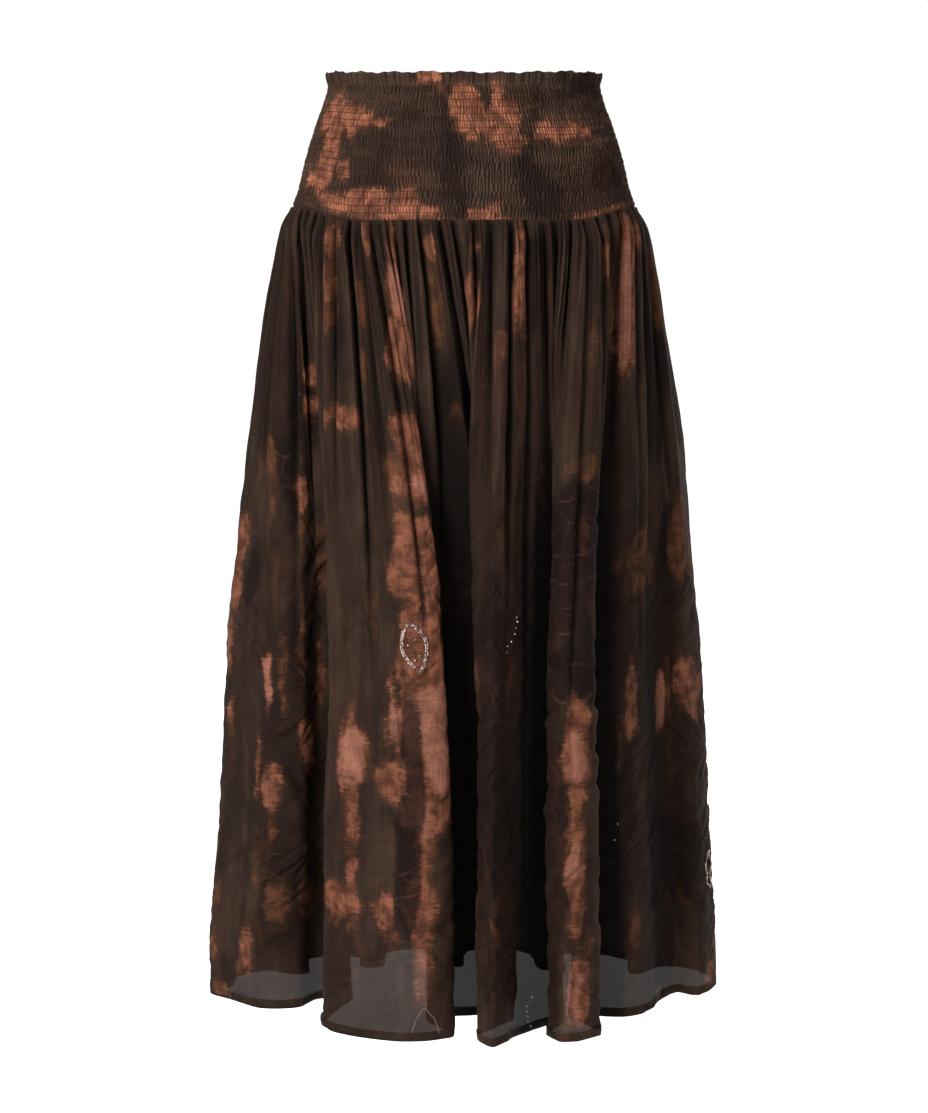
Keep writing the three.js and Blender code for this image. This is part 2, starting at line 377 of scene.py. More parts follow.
# The yoke's dye, in the same way
YOKE_DYE = [
    (334, 344, 91, 104, "rust"),
    (325, 347, 97, 112, "rust"),
    (322, 361, 106, 129, "rust"),
    (346, 361, 103, 114, "rust"),
    (354, 376, 115, 129, "rust"),
    (370, 390, 119, 128, "rust"),
    (346, 356, 124, 140, "rust"),
    (319, 335, 122, 196, "rust"),
    (335, 351, 161, 177, "rust"),
    (309, 320, 174, 181, "rust"),
    (313, 360, 193, 210, "rust"),
    (340, 386, 190, 218, "rust"),
    (391, 424, 187, 219, "rust"),
    (403, 417, 182, 200, "rust"),
    (415, 438, 203, 217, "rust"),
    (434, 451, 213, 221, "ochre"),
    (417, 443, 71, 85, "rust"),
    (431, 446, 82, 98, "ochre"),
    (450, 484, 87, 124, "rust"),
    (458, 482, 110, 134, "rust"),
    (468, 478, 124, 140, "rust"),
    (483, 524, 98, 138, "rust"),
    (489, 507, 88, 108, "rust"),
    (492, 520, 126, 147, "rust"),
    (524, 540, 106, 109, "ochre"),
    (534, 576, 124, 143, "rust"),
    (536, 552, 120, 134, "rust"),
    (571, 592, 129, 137, "rust"),
    (600, 612, 136, 141, "ochre"),
    (466, 516, 215, 231, "rust"),
    (470, 502, 203, 222, "rust"),
    (591, 634, 208, 224, "rust"),
    (373, 388, 127, 190, "plum"),
    (390, 432, 92, 130, "brown"),
    (441, 464, 70, 225, "plum"),
    (450, 470, 150, 225, "plum"),
    (520, 560, 160, 222, "plum"),
    (512, 545, 145, 185, "plum"),
    (527, 540, 70, 122, "plum"),
    (566, 604, 70, 104, "plum"),
    (584, 640, 140, 216, "brown"),
    (612, 622, 130, 215, "plum"),
    (560, 600, 170, 200, "brown"),
]

# Soft slanting creases of the front, as the front view shows them: from column and row to column
# and row, depth and half width
CREASES = [
    (344, 806, 396, 856, 1.5, 5),
    (331, 834, 390, 884, 1.4, 4.5),
    (363, 884, 394, 967, 1.5, 5),
    (324, 962, 353, 975, 1.2, 4),
    (420, 866, 452, 848, 1.1, 4),
    (220, 824, 256, 774, 1.5, 6),
    (338, 604, 346, 690, 1.2, 5),
    (352, 606, 380, 634, 1.0, 5),
    (330, 655, 352, 615, 1.0, 5),
    (568, 706, 598, 682, 1.4, 4.5),
    (540, 716, 580, 700, 1.2, 4.5),
    (545, 745, 600, 722, 1.3, 5),
    (540, 772, 598, 750, 1.1, 5),
    (544, 800, 596, 776, 1.3, 5),
    (545, 968, 578, 980, 1.2, 5),
    (548, 900, 560, 860, 1.0, 6),
    (480, 890, 512, 930, 1.2, 5),
    (476, 930, 500, 990, 1.1, 5),
    (660, 860, 690, 905, 1.1, 6),
    (640, 905, 672, 880, 1.2, 6),
    (672, 930, 700, 960, 1.0, 5),
    (655, 740, 700, 770, 1.0, 7),
    (216, 880, 250, 905, 1.2, 5),
    (262, 905, 290, 870, 1.0, 5),
    (290, 760, 310, 820, 1.0, 5),
    (560, 520, 600, 500, 0.8, 5),
    (340, 520, 372, 560, 0.8, 7),
]

# Leaves of beads, as the front view shows them: middle column and row, half width, half height and
# turn in degrees
LEAVES = [
    (414.5, 646.5, 13.4, 24.5, -11),
    (414.5, 646.5, 11.4, 22.4, -11),
    (716, 868, 8, 20, 0),
]
BEADS_ON_A_SIDE = 26
LEAF_RAISED_BEHIND = 40.0  # the back's leaves lie this much higher
# Single beads inside the main leaf, and the arcs of leaves that the folds hide for the most part
INNER_BEADS = [
    (408.5, 645),
    (419.5, 655.5),
    (414.5, 661),
    (416, 640),
    (514, 617),
    (513.5, 622),
    (512.5, 628),
    (511.5, 634),
    (509.5, 641),
    (507.5, 647),
    (506, 652),
    (617, 824),
    (614, 839),
    (531, 997),
    (528, 1001),
    (526.5, 1006),
    (526, 1011),
    (526.5, 1016),
    (528, 1021),
    (530, 1025),
]
THREAD_RADIUS = 0.22 * MM
PALE_RADIUS = 0.35 * MM
# The pale thread that outlines the leaf at the hem: columns and rows of the front view
THREAD_LEAF = [
    (411, 1039),
    (412.5, 1030),
    (416, 1020),
    (420, 1013),
    (425, 1008),
    (430, 1013),
    (434, 1019),
    (438, 1028),
    (440, 1036),
]


# The form of the cloth


def curve_through(knots, values):
    """A smooth curve through values at rising knots, by cubic pieces."""
    knots = np.asarray(knots, float)
    values = np.asarray(values, float)
    ahead = np.append(np.arange(1, len(knots)), len(knots) - 1)
    behind = np.append(0, np.arange(len(knots) - 1))
    slopes = (values[ahead] - values[behind]) / (knots[ahead] - knots[behind])

    def curve(at):
        i = np.clip(np.searchsorted(knots, at) - 1, 0, len(knots) - 2)
        span = knots[i + 1] - knots[i]
        t = (at - knots[i]) / span
        rise = t * t * (3 - 2 * t)
        bend = t * (1 - t) * ((1 - t) * slopes[i] - t * slopes[i + 1])
        return values[i] + (values[i + 1] - values[i]) * rise + bend * span

    return curve


def smooth_step(low, high, value):
    t = np.clip((value - low) / (high - low), 0, 1)
    return t * t * (3 - 2 * t)


half_width = curve_through([-row[0] for row in SECTIONS], [row[1] for row in SECTIONS])
half_depth = curve_through([-row[0] for row in SECTIONS], [row[2] for row in SECTIONS])


def seam_height(angle):
    """Height of the yoke's lower seam at an angle from the front middle."""
    folded = np.arccos(np.abs(np.cos(angle)))
    knots = np.linspace(0, math.pi / 2, SEAM_STEPS + 1)
    levels = SEAM_SIDE - SEAM_DIP * smooth_step(0.35, 0.85, np.cos(knots))
    return np.interp(folded, knots, levels)


def waist_height(angle):
    """Height of the first elastic row at an angle from the front middle."""
    return WAIST_RISE * np.sin(angle) ** 2


def hem_plan():
    """The hem's x and y against distance along the cloth, the cloth's length to the right side and
    in all, and the places of the front's hollows."""
    points = [SIDE_LEFT]
    for fold in FRONT_FOLDS:
        points += fold
    points.append(SIDE_RIGHT)
    for fold in BACK_FOLDS:
        points += fold
    wrapped = np.array(points[-2:] + points + points[:3], float)
    knots = np.append(0, np.cumsum(np.hypot(*np.diff(wrapped, axis=0).T)))
    knots -= knots[2]
    right = knots[2 + 1 + 5 * len(FRONT_FOLDS)]
    whole = knots[2 + len(points)]
    hollows = [float(knots[2 + 5 * fold + 5]) for fold in range(len(FRONT_FOLDS))]
    x, y = wrapped.T
    return curve_through(knots, x), curve_through(knots, y), right, whole, hollows


plan_x, plan_y, FRONT_CLOTH, WHOLE_CLOTH, HOLLOW_PLACES = hem_plan()
BACK_CLOTH = WHOLE_CLOTH - FRONT_CLOTH
# Each panel of the skirt, with the places across the cloth at which it starts and ends
PANELS = (("skirt_front_cloth", 0.0, FRONT_CLOTH), ("skirt_back_cloth", FRONT_CLOTH, WHOLE_CLOTH))


def seam_angle(across):
    """Where a place across the cloth is sewn to the yoke, as an angle from the front middle."""
    quarter = math.pi / 2
    front = -quarter + math.pi * across / FRONT_CLOTH
    back = quarter + math.pi * (across - FRONT_CLOTH) / BACK_CLOTH
    return np.where(across < FRONT_CLOTH, front, back)


def drape(across, drop):
    """The cloth without gathers: x, y and z for a place across it and a share of the drop."""
    angle = seam_angle(across)
    top = seam_height(angle) - SEAM_GAP / 2
    z = top + (HEM - top) * drop
    wide = half_width(-z)
    deep = half_depth(-z)
    deepened = 1 - (1 - drop) ** DEEPENING
    placed = 1 - (1 - drop) ** PLACING
    hem_x = plan_x(across) * wide / half_width(-HEM)
    hem_y = plan_y(across) * deep / half_depth(-HEM)
    x = (1 - placed) * wide * np.sin(angle) + placed * hem_x
    y = -(1 - deepened) * deep * np.cos(angle) + deepened * hem_y
    return x, y, z


def uneven(index, seed):
    """A number from 0 to 1 that is different for each index."""
    wave = np.sin(np.asarray(index) * 12.9898 + seed * 78.233) * 43758.5453
    return wave - np.floor(wave)


def back_valleys():
    """Long valleys of the back's gathers, uneven in the way of the front's."""
    index = np.arange(BACK_GATHERS + 1)
    place = index + 0.55 * (uneven(index, 3) - 0.5)
    place[0] = 0
    place[-1] = BACK_GATHERS
    across = FRONT_CLOTH + place * BACK_CLOTH / BACK_GATHERS
    depth = 12 + 10 * uneven(index, 5)
    reach = 220 + 330 * uneven(index, 8) ** 1.5
    depth[[0, -1]] = 10
    reach[[0, -1]] = 260
    return list(zip(across, depth, reach))


def fine_valleys():
    """The short fine valleys between the long ones, all round."""
    index = np.arange(FINE_FRONT + FINE_BACK + 1)
    place = index + 0.6 * (uneven(index, 61) - 0.5)
    place[0] = 0
    place[FINE_FRONT] = FINE_FRONT
    place[-1] = index[-1]
    front = place * FRONT_CLOTH / FINE_FRONT
    back = FRONT_CLOTH + (place - FINE_FRONT) * BACK_CLOTH / FINE_BACK
    across = np.where(place < FINE_FRONT, front, back)
    depth = 2 + 7 * uneven(index, 62)
    reach = 40 + 150 * uneven(index, 63) ** 2
    return list(zip(across, depth, reach))


def front_valleys():
    rows = FRONT_VALLEYS[:-1]  # the last one is the back's first
    return [(place / 1000 * FRONT_CLOTH, depth, reach) for place, depth, reach in rows]


VALLEYS = front_valleys() + back_valleys()
FINE_VALLEYS = fine_valleys()


def blend_between(column, low, mix):
    return column[low] * (1 - mix) + column[low + 1] * mix


def valley_relief(across, down, valleys, seed):
    """Flat lobes with narrow valleys between them: out, to the side, and how closed they are, as
    the shade painted into the valleys.
    """
    table = np.array(valleys, float)
    places, depths, reaches = table.T
    phase = np.interp(across, places, np.arange(len(places)))
    low = np.minimum(np.floor(phase).astype(int), len(places) - 2)
    share = phase - low
    mix = share * share * (3 - 2 * share)
    depth = blend_between(depths, low, mix)
    reach = blend_between(reaches, low, mix)
    lean = blend_between(uneven(np.arange(len(places)), seed) - 0.5, low, mix) * 1.2
    starts = 0.3 + 0.7 * smooth_step(0, 24, down)
    fades = 1 - smooth_step(0.35, 1.15, down / reach)
    valley = np.abs(2 * share - 1)
    hollow = valley ** (2.6 + 2.6 * smooth_step(0, 90, down))
    tilt = (uneven(low, seed + 6) - 0.5) * 1.7 * (share - 0.5) * (1 - hollow)
    out = depth * starts * fades * (0.3 - hollow + tilt)
    # The third value is the shade painted into the valleys, darkest where they close.
    return out, out * lean, hollow**0.55 * smooth_step(0, 4, down) * fades


def gather_relief(across, down):
    """How far the gathers push the cloth out and along, in millimetres, and the shade painted into
    their closed valleys.
    """
    out, side, painted_shade = valley_relief(across, down, VALLEYS, 11)
    fine_out, fine_side, fine_painted_shade = valley_relief(across, down, FINE_VALLEYS, 71)
    return out + fine_out, side + fine_side, np.maximum(painted_shade, 0.75 * fine_painted_shade)


def cloth_noise(across, down, wide, high, seed):
    """Soft noise from -1 to 1 over the cloth, its forms so wide and so high in millimetres."""
    shift = Vector((seed * 17.3, seed * 5.7, seed * 11.1))
    places = np.stack([across, down, np.zeros_like(down)], axis=-1).reshape(-1, 3)
    scaled = places * np.asarray((1 / wide, 1 / high, 1))
    return np.array([noise.noise(Vector(p) + shift) for p in scaled]).reshape(across.shape)


def folded(across, down, drop):
    """The gathered cloth: x, y and z in millimetres, and the shade painted into its gathers there.
    """
    step = 1.5
    x, y, z = drape(across, drop)
    x0, y0, _ = drape(across - step, drop)
    x1, y1, _ = drape(across + step, drop)
    along_x, along_y = x1 - x0, y1 - y0
    size = np.hypot(along_x, along_y)
    along_x, along_y = along_x / size, along_y / size
    out, side, painted_shade = gather_relief(across, down)
    puffed = SEAM_PUFF * smooth_step(1, 12, down) * (1 - smooth_step(12, 70, down))
    out = out + puffed + SEAM_LIP * (1 - smooth_step(0, 4, down))
    px = x + along_y * out + along_x * side
    py = y - along_x * out + along_y * side
    return px, py, z, painted_shade


# The front view, in which the dye's places are given


def front_view(points):
    """Column, row and distance of points in millimetres, as the front view shows them."""
    ahead = points[..., 1] + VIEW_DISTANCE
    above = points[..., 2] - VIEW_HEIGHT
    tilt = math.radians(VIEW_TILT)
    distance = ahead * math.cos(tilt) - above * math.sin(tilt)
    raised = above * math.cos(tilt) + ahead * math.sin(tilt)
    column = VIEW_COLUMN + VIEW_DISTANCE * points[..., 0] / distance
    row = VIEW_ROW - VIEW_DISTANCE * raised / distance
    return column, row, distance


def seen_cloth(across, down, points):
    """A finder of the place on the cloth behind a column and a row of the front view."""
    column, row, distance = front_view(points)

    def find(at_column, at_row):
        for reach in (1.6, 3.5, 8, 20, 45):
            near = (np.abs(column - at_column) < reach) & (np.abs(row - at_row) < reach)
            if near.any():
                break
        away = np.hypot(column - at_column, row - at_row)
        chosen = np.argmin(np.where(near, distance + 3 * away, np.inf))
        return float(across.flat[chosen]), float(down.flat[chosen])

    return find


def placed_dye(table, find):
    """The dye's patches on the cloth: middle across, middle down, half across, half down, kind."""
    patches = []
    for left, right, top, bottom, kind in table:
        middle = (left + right) / 2
        level = (top + bottom) / 2
        from_left = find(left, level)[0]
        from_right = find(right, level)[0]
        from_top = find(middle, top)[1]
        from_bottom = find(middle, bottom)[1]
        half_across = max(abs(from_right - from_left) / 2, 2)
        half_down = max(abs(from_bottom - from_top) / 2, 2)
        centre = find(middle, level)
        if half_across < right - left:
            centre = ((from_left + from_right) / 2, centre[1])
        half_across = min(half_across, 1.6 * (right - left))
        patches.append((centre[0], centre[1], half_across, half_down, kind))
    return patches


def dye_depths(patches, across, down):
    """How far inside the patches of each kind a place lies, in millimetres."""
    depths = {kind: np.full(across.shape, OUTSIDE) for kind in DYE_KINDS}
    bends = []
    for number, (wide, high) in enumerate(BEND_SIZES):
        sideways = cloth_noise(across, down, wide, high, 61 + number)
        upwards = cloth_noise(across, down, wide, 2 * high, 71 + number)
        bends.append((sideways, upwards))
    for middle, level, half_across, half_down, kind in patches:
        sideways, upwards = bends[1 if min(half_across, half_down) > LARGE_PATCH else 0]
        beside = np.abs(across - middle + BEND_ACROSS * half_across * sideways)
        beyond = np.abs(down - level + BEND_DOWN * half_down * upwards)
        share = (beside / half_across) ** PATCH_CURVE + (beyond / half_down) ** PATCH_CURVE
        inside = (1 - share ** (1 / PATCH_CURVE)) * min(half_across, half_down)
        over = np.hypot(np.maximum(beside - half_across, 0), np.maximum(beyond - half_down, 0))
        inside = np.where(over > 0, np.minimum(inside, -over), inside)
        depths[kind] = np.maximum(depths[kind], inside)
    return depths


# Meshes


def deselect_all():
    bpy.ops.object.select_all(action="DESELECT")


def grid_sheet(name, columns, rows):
    """A flat grid of cloth, ready to be draped: its points in rows from the lowest edge up."""
    deselect_all()
    bpy.ops.mesh.primitive_grid_add(
        x_subdivisions=columns, y_subdivisions=rows, size=2, location=(0, 0, 0)
    )
    sheet = bpy.context.object
    sheet.name = name
    sheet.data.name = name
    return sheet


def shape_sheet(sheet, points, cloth):
    """Moves the grid's points to their places, and lays its UV map out as the flat cloth."""
    mesh = sheet.data
    mesh.vertices.foreach_set("co", (points * MM).astype(np.float32).ravel())
    corner = np.empty(len(mesh.loops), np.int32)
    mesh.loops.foreach_get("vertex_index", corner)
    uv = mesh.uv_layers.active or mesh.uv_layers.new(name="cloth")
    uv.name = "cloth"
    uv.data.foreach_set("uv", (cloth.reshape(-1, 2)[corner] * MM).astype(np.float32).ravel())
    mesh.update()


def add_numbers(sheet, name, values):
    """A number at each point of the cloth, for its material."""
    field = sheet.data.attributes.new(name, "FLOAT", "POINT")
    field.data.foreach_set("value", values.astype(np.float32).ravel())


def add_dye(sheet, depths):
    for kind, values in depths.items():
        add_numbers(sheet, "dye_" + kind, values)


def finish_piece(piece, slot, *nodes):
    """The piece rides with the garment and stands for its solids; its slot is not used."""
    deselect_all()
    piece.select_set(True)
    bpy.context.view_layer.objects.active = piece
    bpy.ops.object.shade_smooth()
    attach(piece, "root")
    if nodes:
        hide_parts(*nodes)


def outward(points):
    """Directions out of a lattice of points whose rows go up and whose columns go round."""
    along = np.gradient(points, axis=1)
    upward = np.gradient(points, axis=0)
    normal = np.cross(along, upward)
    return normal / (np.linalg.norm(normal, axis=2)[..., None] + 1e-9)


def panel_lattice(start, end):
    """Places across and down, shares of the drop and depths inside, for a panel's points."""
    rows = PANEL_ROWS + 1
    hem_drop = np.linspace(HEM_TURN, 1, TURNED_ROWS + 1)[:-1]
    drops = np.append(hem_drop, np.linspace(1, 0, rows - TURNED_ROWS))
    inside = np.append(np.linspace(*HEM_INSIDE, TURNED_ROWS), np.zeros(rows - TURNED_ROWS))
    places = np.linspace(start + SIDE_GAP / 2, end - SIDE_GAP / 2, PANEL_COLUMNS + 1)
    across = np.repeat(places[None, :], rows, axis=0)
    drop = np.repeat(drops[:, None], PANEL_COLUMNS + 1, axis=1)
    within = np.repeat(inside[:, None], PANEL_COLUMNS + 1, axis=1)
    top = seam_height(seam_angle(across)) - SEAM_GAP / 2
    return across, (top - HEM) * drop, drop, within


def crease_relief(across, down, creases):
    """Soft troughs along slanting lines of the cloth, each with a ridge on its lower side."""
    out = np.zeros_like(across)
    for (a0, d0), (a1, d1), depth, width in creases:
        length = math.hypot(a1 - a0, d1 - d0)
        ux, uy = (a1 - a0) / length, (d1 - d0) / length
        along = (across - a0) * ux + (down - d0) * uy
        beside = (across - a0) * -uy + (down - d0) * ux
        bowed = beside - 0.05 * length * np.sin(np.clip(along / length, 0, 1) * math.pi)
        share = np.clip(along / length, 0, 1)
        ends = np.clip(np.sin(share * math.pi), 0, 1) ** 0.6
        trough = -np.exp(-((bowed / width) ** 2))
        ridge = 0.8 * np.exp(-(((bowed - 1.7 * width) / (1.5 * width)) ** 2))
        out += depth * ends * (trough + ridge)
    return out


def painted_hollow_shade(across):
    """How strongly shade is painted into the hollows at a place across the cloth, from the table of
    the front's.
    """
    return np.interp(across, HOLLOW_PLACES + [FRONT_CLOTH], FRONT_HOLLOW_PAINTED_SHADE + (BACK_HOLLOW_PAINTED_SHADE,))


def recess_depth(points):
    """How far each point lies behind the folds beside it, in millimetres, row by row."""
    x, y, z = points[..., 0], points[..., 1], points[..., 2]
    share = np.hypot(x / half_width(-z), y / half_depth(-z))
    degree = np.degrees(np.arctan2(x, -y)).astype(int) + 180
    behind = np.zeros_like(share)
    for row in range(len(points)):
        reached = np.zeros(361)
        np.maximum.at(reached, degree[row], share[row])
        shifts = range(-RECESS_REACH, RECESS_REACH + 1)
        around = np.max([np.roll(reached, shift) for shift in shifts], axis=0)
        half = RECESS_SMOOTHING // 2
        closed_round = np.concatenate([around[-half:], around, around[:half]])
        soft = np.convolve(closed_round, np.ones(RECESS_SMOOTHING) / RECESS_SMOOTHING, "valid")
        behind[row] = (soft[degree[row]] - share[row]) * RECESS_SIZE
    return behind


def slanting_noise(across, down, degrees, seed):
    """Ridges of crumpled cloth that run at a slant."""
    turn = math.radians(degrees)
    along = across * math.cos(turn) + down * math.sin(turn)
    beside = down * math.cos(turn) - across * math.sin(turn)
    return 0.35 - np.abs(cloth_noise(along, beside, 75, 17, seed)) * 2


def crumpled(points, across, down, within, creases):
    """Soft crumpling of worn cloth, its slanting creases, and the turned hem set inside."""
    normal = outward(points)
    amount = smooth_step(30, 260, down)
    sway = smooth_step(-0.25, 0.25, cloth_noise(across, down, 260, 330, 7))
    rising = slanting_noise(across, down, 38, 8)
    falling = slanting_noise(across, down, -34, 9)
    slants = SLANT_HEIGHT * (sway * rising + (1 - sway) * falling) * smooth_step(160, 420, down)
    broad = cloth_noise(across, down, 70, 150, 1) * BROAD_CRUMPLE * amount
    middle = cloth_noise(across, down, 26, 60, 2) * MIDDLE_CRUMPLE * (0.25 + amount)
    fine = cloth_noise(across, down, 11, 17, 3) * FINE_CRUMPLE
    creased = CREASE_STRENGTH * crease_relief(across, down, creases)
    out = broad + middle + fine + slants + creased - within
    return points + normal * out[..., None]


def placed_creases(find):
    """The creases of the front on the cloth, and the like on the back."""
    front = []
    for left, top, right, bottom, depth, width in CREASES:
        front.append((find(left, top), find(right, bottom), depth, width))
    back = []
    ratio = BACK_CLOTH / FRONT_CLOTH
    for (a0, d0), (a1, d1), depth, width in front:
        mirrored = WHOLE_CLOTH - a0 * ratio
        back.append(((mirrored, d0 - 25), (mirrored - (a1 - a0), d1 - 25), depth, width))
    return front + back


def panel_sheet(name, start, end, patches, creases):
    """One gathered panel from yoke seam to hem, with its turned hem folded up inside."""
    sheet = grid_sheet(name, PANEL_COLUMNS, PANEL_ROWS)
    across, down, drop, within = panel_lattice(start, end)
    x, y, z, painted_shade = folded(across, down, drop)
    points = crumpled(np.stack([x, y, z], axis=-1), across, down, within, creases)
    shape_sheet(sheet, points, np.stack([across, -down], axis=-1))
    add_dye(sheet, dye_depths(patches, across, down))
    # Painted shade: the recesses behind the folds are darkened, as are the gathers' closed valleys
    painted_recess_shade = smooth_step(15, 62, recess_depth(points)) * painted_hollow_shade(across)
    add_numbers(sheet, "painted_shade", np.clip(np.maximum(painted_shade, painted_recess_shade), 0, 1))
    return sheet


def front_finder():
    """A finder of the place on the front panel behind a column and a row of the front view."""
    across, drop = np.meshgrid(np.linspace(0, FRONT_CLOTH, 900), np.linspace(0, 1, 560))
    x, y, z = drape(across, drop)
    top = seam_height(seam_angle(across)) - SEAM_GAP / 2
    return seen_cloth(across, (top - HEM) * drop, np.stack([x, y, z], axis=-1))


def mirrored_patches(patches):
    """Dye for the back, like the front's seen in a mirror, with its own places and lengths."""
    ratio = BACK_CLOTH / FRONT_CLOTH
    made = []
    for index, (middle, level, half_across, half_down, kind) in enumerate(patches):
        across = WHOLE_CLOTH - middle * ratio + 46 * (float(uneven(index // 3, 21)) - 0.5)
        down = level + 60 * (float(uneven(index // 3, 22)) - 0.5)
        half = half_down * (0.8 + 0.5 * float(uneven(index, 23)))
        made.append((across, down, 0.8 * half_across, half, kind))
    return made


# The shirred yoke


def yoke_round(angle, z):
    """Places on the yoke's ellipse, in plan, at angles from the front middle and at a height."""
    return half_width(-z) * np.sin(angle), -half_depth(-z) * np.cos(angle)


def even_angles(start, end, count):
    """Angles at even steps of the cloth along the yoke's ellipse."""
    fine = np.linspace(start, end, 2000)
    x, y = yoke_round(fine, -60.0)
    length = np.append(0, np.cumsum(np.hypot(np.diff(x), np.diff(y))))
    return np.interp(np.linspace(0, length[-1], count), length, fine), length[-1]


def pucker_relief(phase, level):
    """Puckers of the shirring between its elastic rows: outwards in millimetres, and the shade
    painted between them where they close.
    """
    row = np.floor(level)
    share = level - row
    swell = np.sin(np.clip(share, 0, 1) * math.pi) ** 0.3
    cell = np.floor(phase)
    wander = 0.45 * np.sin(phase * 0.37 + row * 2.1) + 0.3 * np.sin(phase * 0.91 - row * 1.3)
    slant = 0.35 * np.sin(phase * 0.05 + row * 0.2) + 0.5 * (uneven(row, 31) - 0.5)
    slant = slant * (share - 0.5)
    wave = 0.5 + 0.5 * np.cos(2 * math.pi * (phase + wander + slant))
    size = 0.7 + 0.5 * uneven(cell + 57 * row, 33)
    out = PUCKER_DEPTH * ((0.72 + 0.28 * swell) * (wave**0.7 * size - 0.5) + 0.08 * swell)
    return out, (1 - wave**0.8 * (0.55 + 0.45 * (size - 0.7) / 0.5)) * (0.8 + 0.2 * swell)


def frill_relief(phase, height, seed):
    """The frill's loose uneven gathers above the first elastic row, growing to its free edge."""
    wander = 1.3 * np.sin(phase * 0.31 + seed) + 0.9 * np.sin(phase * 0.83 + 2 * seed)
    wave = np.abs(np.sin(math.pi * (phase + wander))) ** 0.7
    size = 0.45 + 0.9 * uneven(np.floor(phase + wander), 35)
    finer = np.sin(4.3 * math.pi * phase + 3 * np.sin(phase * 0.7) + seed)
    return (0.7 + 0.8 * height) * (1.25 * size * (wave - 0.6) + 0.45 * finer * (1 - 0.5 * height))


def yoke_sheet(name, start, end, seed, patches_for):
    """Half of the yoke from side seam to side seam: the shirring and the frill above it."""
    sheet = grid_sheet(name, YOKE_COLUMNS, YOKE_ROWS)
    lean = SIDE_GAP / 2 / 140
    angles, length = even_angles(start + lean, end - lean, YOKE_COLUMNS + 1)
    shirred = YOKE_ROWS + 1 - FRILL_POINTS
    level = np.append(np.linspace(ELASTIC_ROWS, 0, shirred), np.zeros(FRILL_POINTS))
    height = np.append(np.zeros(shirred), np.linspace(0, 1, FRILL_POINTS + 1)[1:])
    level = np.repeat(level[:, None], YOKE_COLUMNS + 1, axis=1)
    height = np.repeat(height[:, None], YOKE_COLUMNS + 1, axis=1)
    angle = np.repeat(angles[None, :], YOKE_ROWS + 1, axis=0)
    top = waist_height(angle)
    bottom = seam_height(angle) - YOKE_TUCK
    across = np.linspace(0, length, YOKE_COLUMNS + 1)[None, :] + np.zeros_like(angle)
    phase = across / PUCKER_PITCH + seed
    sag = 0.5 * np.sin(across / 23 + level * 0.4 + seed)
    z = top + (bottom - top) * level / ELASTIC_ROWS + sag * np.sin(level / ELASTIC_ROWS * math.pi)
    edge = 0.05 * np.sin(phase * 0.47 + seed) + 0.03 * np.sin(phase * 1.3)
    edge = FRILL_HEIGHT * (1 + (edge + 0.03 * np.sin(phase * 0.13)))
    z = z + height * edge
    x, y = yoke_round(angle, z)
    points = np.stack([x, y, z], axis=-1)
    normal = outward(points)
    puckers, painted_shade = pucker_relief(phase, level)
    frill = frill_relief(across / FRILL_PITCH, height, seed)
    puckers = puckers * (1 - smooth_step(ELASTIC_ROWS - 0.7, ELASTIC_ROWS, level))
    tucked = YOKE_TUCK * smooth_step(ELASTIC_ROWS - 0.5, ELASTIC_ROWS, level)
    out = np.where(height > 0, frill, puckers) + FRILL_FLARE * height**1.5 - tucked
    # Painted shade in the frill's hollows, and between the puckers below it
    painted_shade = np.where(height > 0, np.clip(0.5 - 0.45 * frill, 0, 1), painted_shade)
    points = points + normal * out[..., None]
    sideways = 0.3 * np.sin(2 * math.pi * phase * 0.5) * (height > 0)
    points[..., 0] += sideways * np.cos(angle)
    down = np.where(height > 0, -height * FRILL_HEIGHT, level * (seam_depth() / ELASTIC_ROWS))
    shape_sheet(sheet, points, np.stack([across, -down], axis=-1))
    depths = dye_depths(patches_for(across, down, points), across, down)
    depths["rust"] += 1.6
    add_dye(sheet, depths)
    add_numbers(sheet, "painted_shade", painted_shade)
    return sheet


def seam_depth():
    """The shirring's depth at the middle of the front, in millimetres."""
    return float(waist_height(0.0) - seam_height(np.array(0.0)))


# Materials


def add_node(tree, kind, **settings):
    node = tree.nodes.new(kind)
    for name, value in settings.items():
        setattr(node, name, value)
    return node


def feed(tree, socket, value):
    """Links a socket to another, or sets its number or colour."""
    if isinstance(value, bpy.types.NodeSocket):
        tree.links.new(value, socket)
    else:
        socket.default_value = value


def calculate(tree, operation, first, second=0.0):
    node = add_node(tree, "ShaderNodeMath", operation=operation)
    feed(tree, node.inputs[0], first)
    feed(tree, node.inputs[1], second)
    return node.outputs[0]


def times(tree, first, second):
    return calculate(tree, "MULTIPLY", first, second)


def plus(tree, first, second):
    return calculate(tree, "ADD", first, second)


def minus(tree, first, second):
    return calculate(tree, "SUBTRACT", first, second)


def larger(tree, first, second):
    return calculate(tree, "MAXIMUM", first, second)


def weighted(tree, *shares):
    """The sum of values, each times its weight."""
    total = times(tree, *shares[0])
    for value, weight in shares[1:]:
        total = plus(tree, total, times(tree, value, weight))
    return total


def step_up(tree, value, low, high):
    """A smooth step from 0 to 1 as a value passes from low to high."""
    node = add_node(tree, "ShaderNodeMapRange", interpolation_type="SMOOTHSTEP")
    feed(tree, node.inputs["Value"], value)
    feed(tree, node.inputs["From Min"], low)
    feed(tree, node.inputs["From Max"], high)
    return node.outputs["Result"]


def mix_colour(tree, factor, first, second, blend="MIX"):
    node = add_node(tree, "ShaderNodeMix", data_type="RGBA", blend_type=blend)
    feed(tree, node.inputs[0], factor)
    feed(tree, node.inputs[6], first)
    feed(tree, node.inputs[7], second)
    return node.outputs[2]


def stretched(tree, vector, scale):
    node = add_node(tree, "ShaderNodeVectorMath", operation="MULTIPLY")
    feed(tree, node.inputs[0], vector)
    node.inputs[1].default_value = scale
    return node.outputs[0]


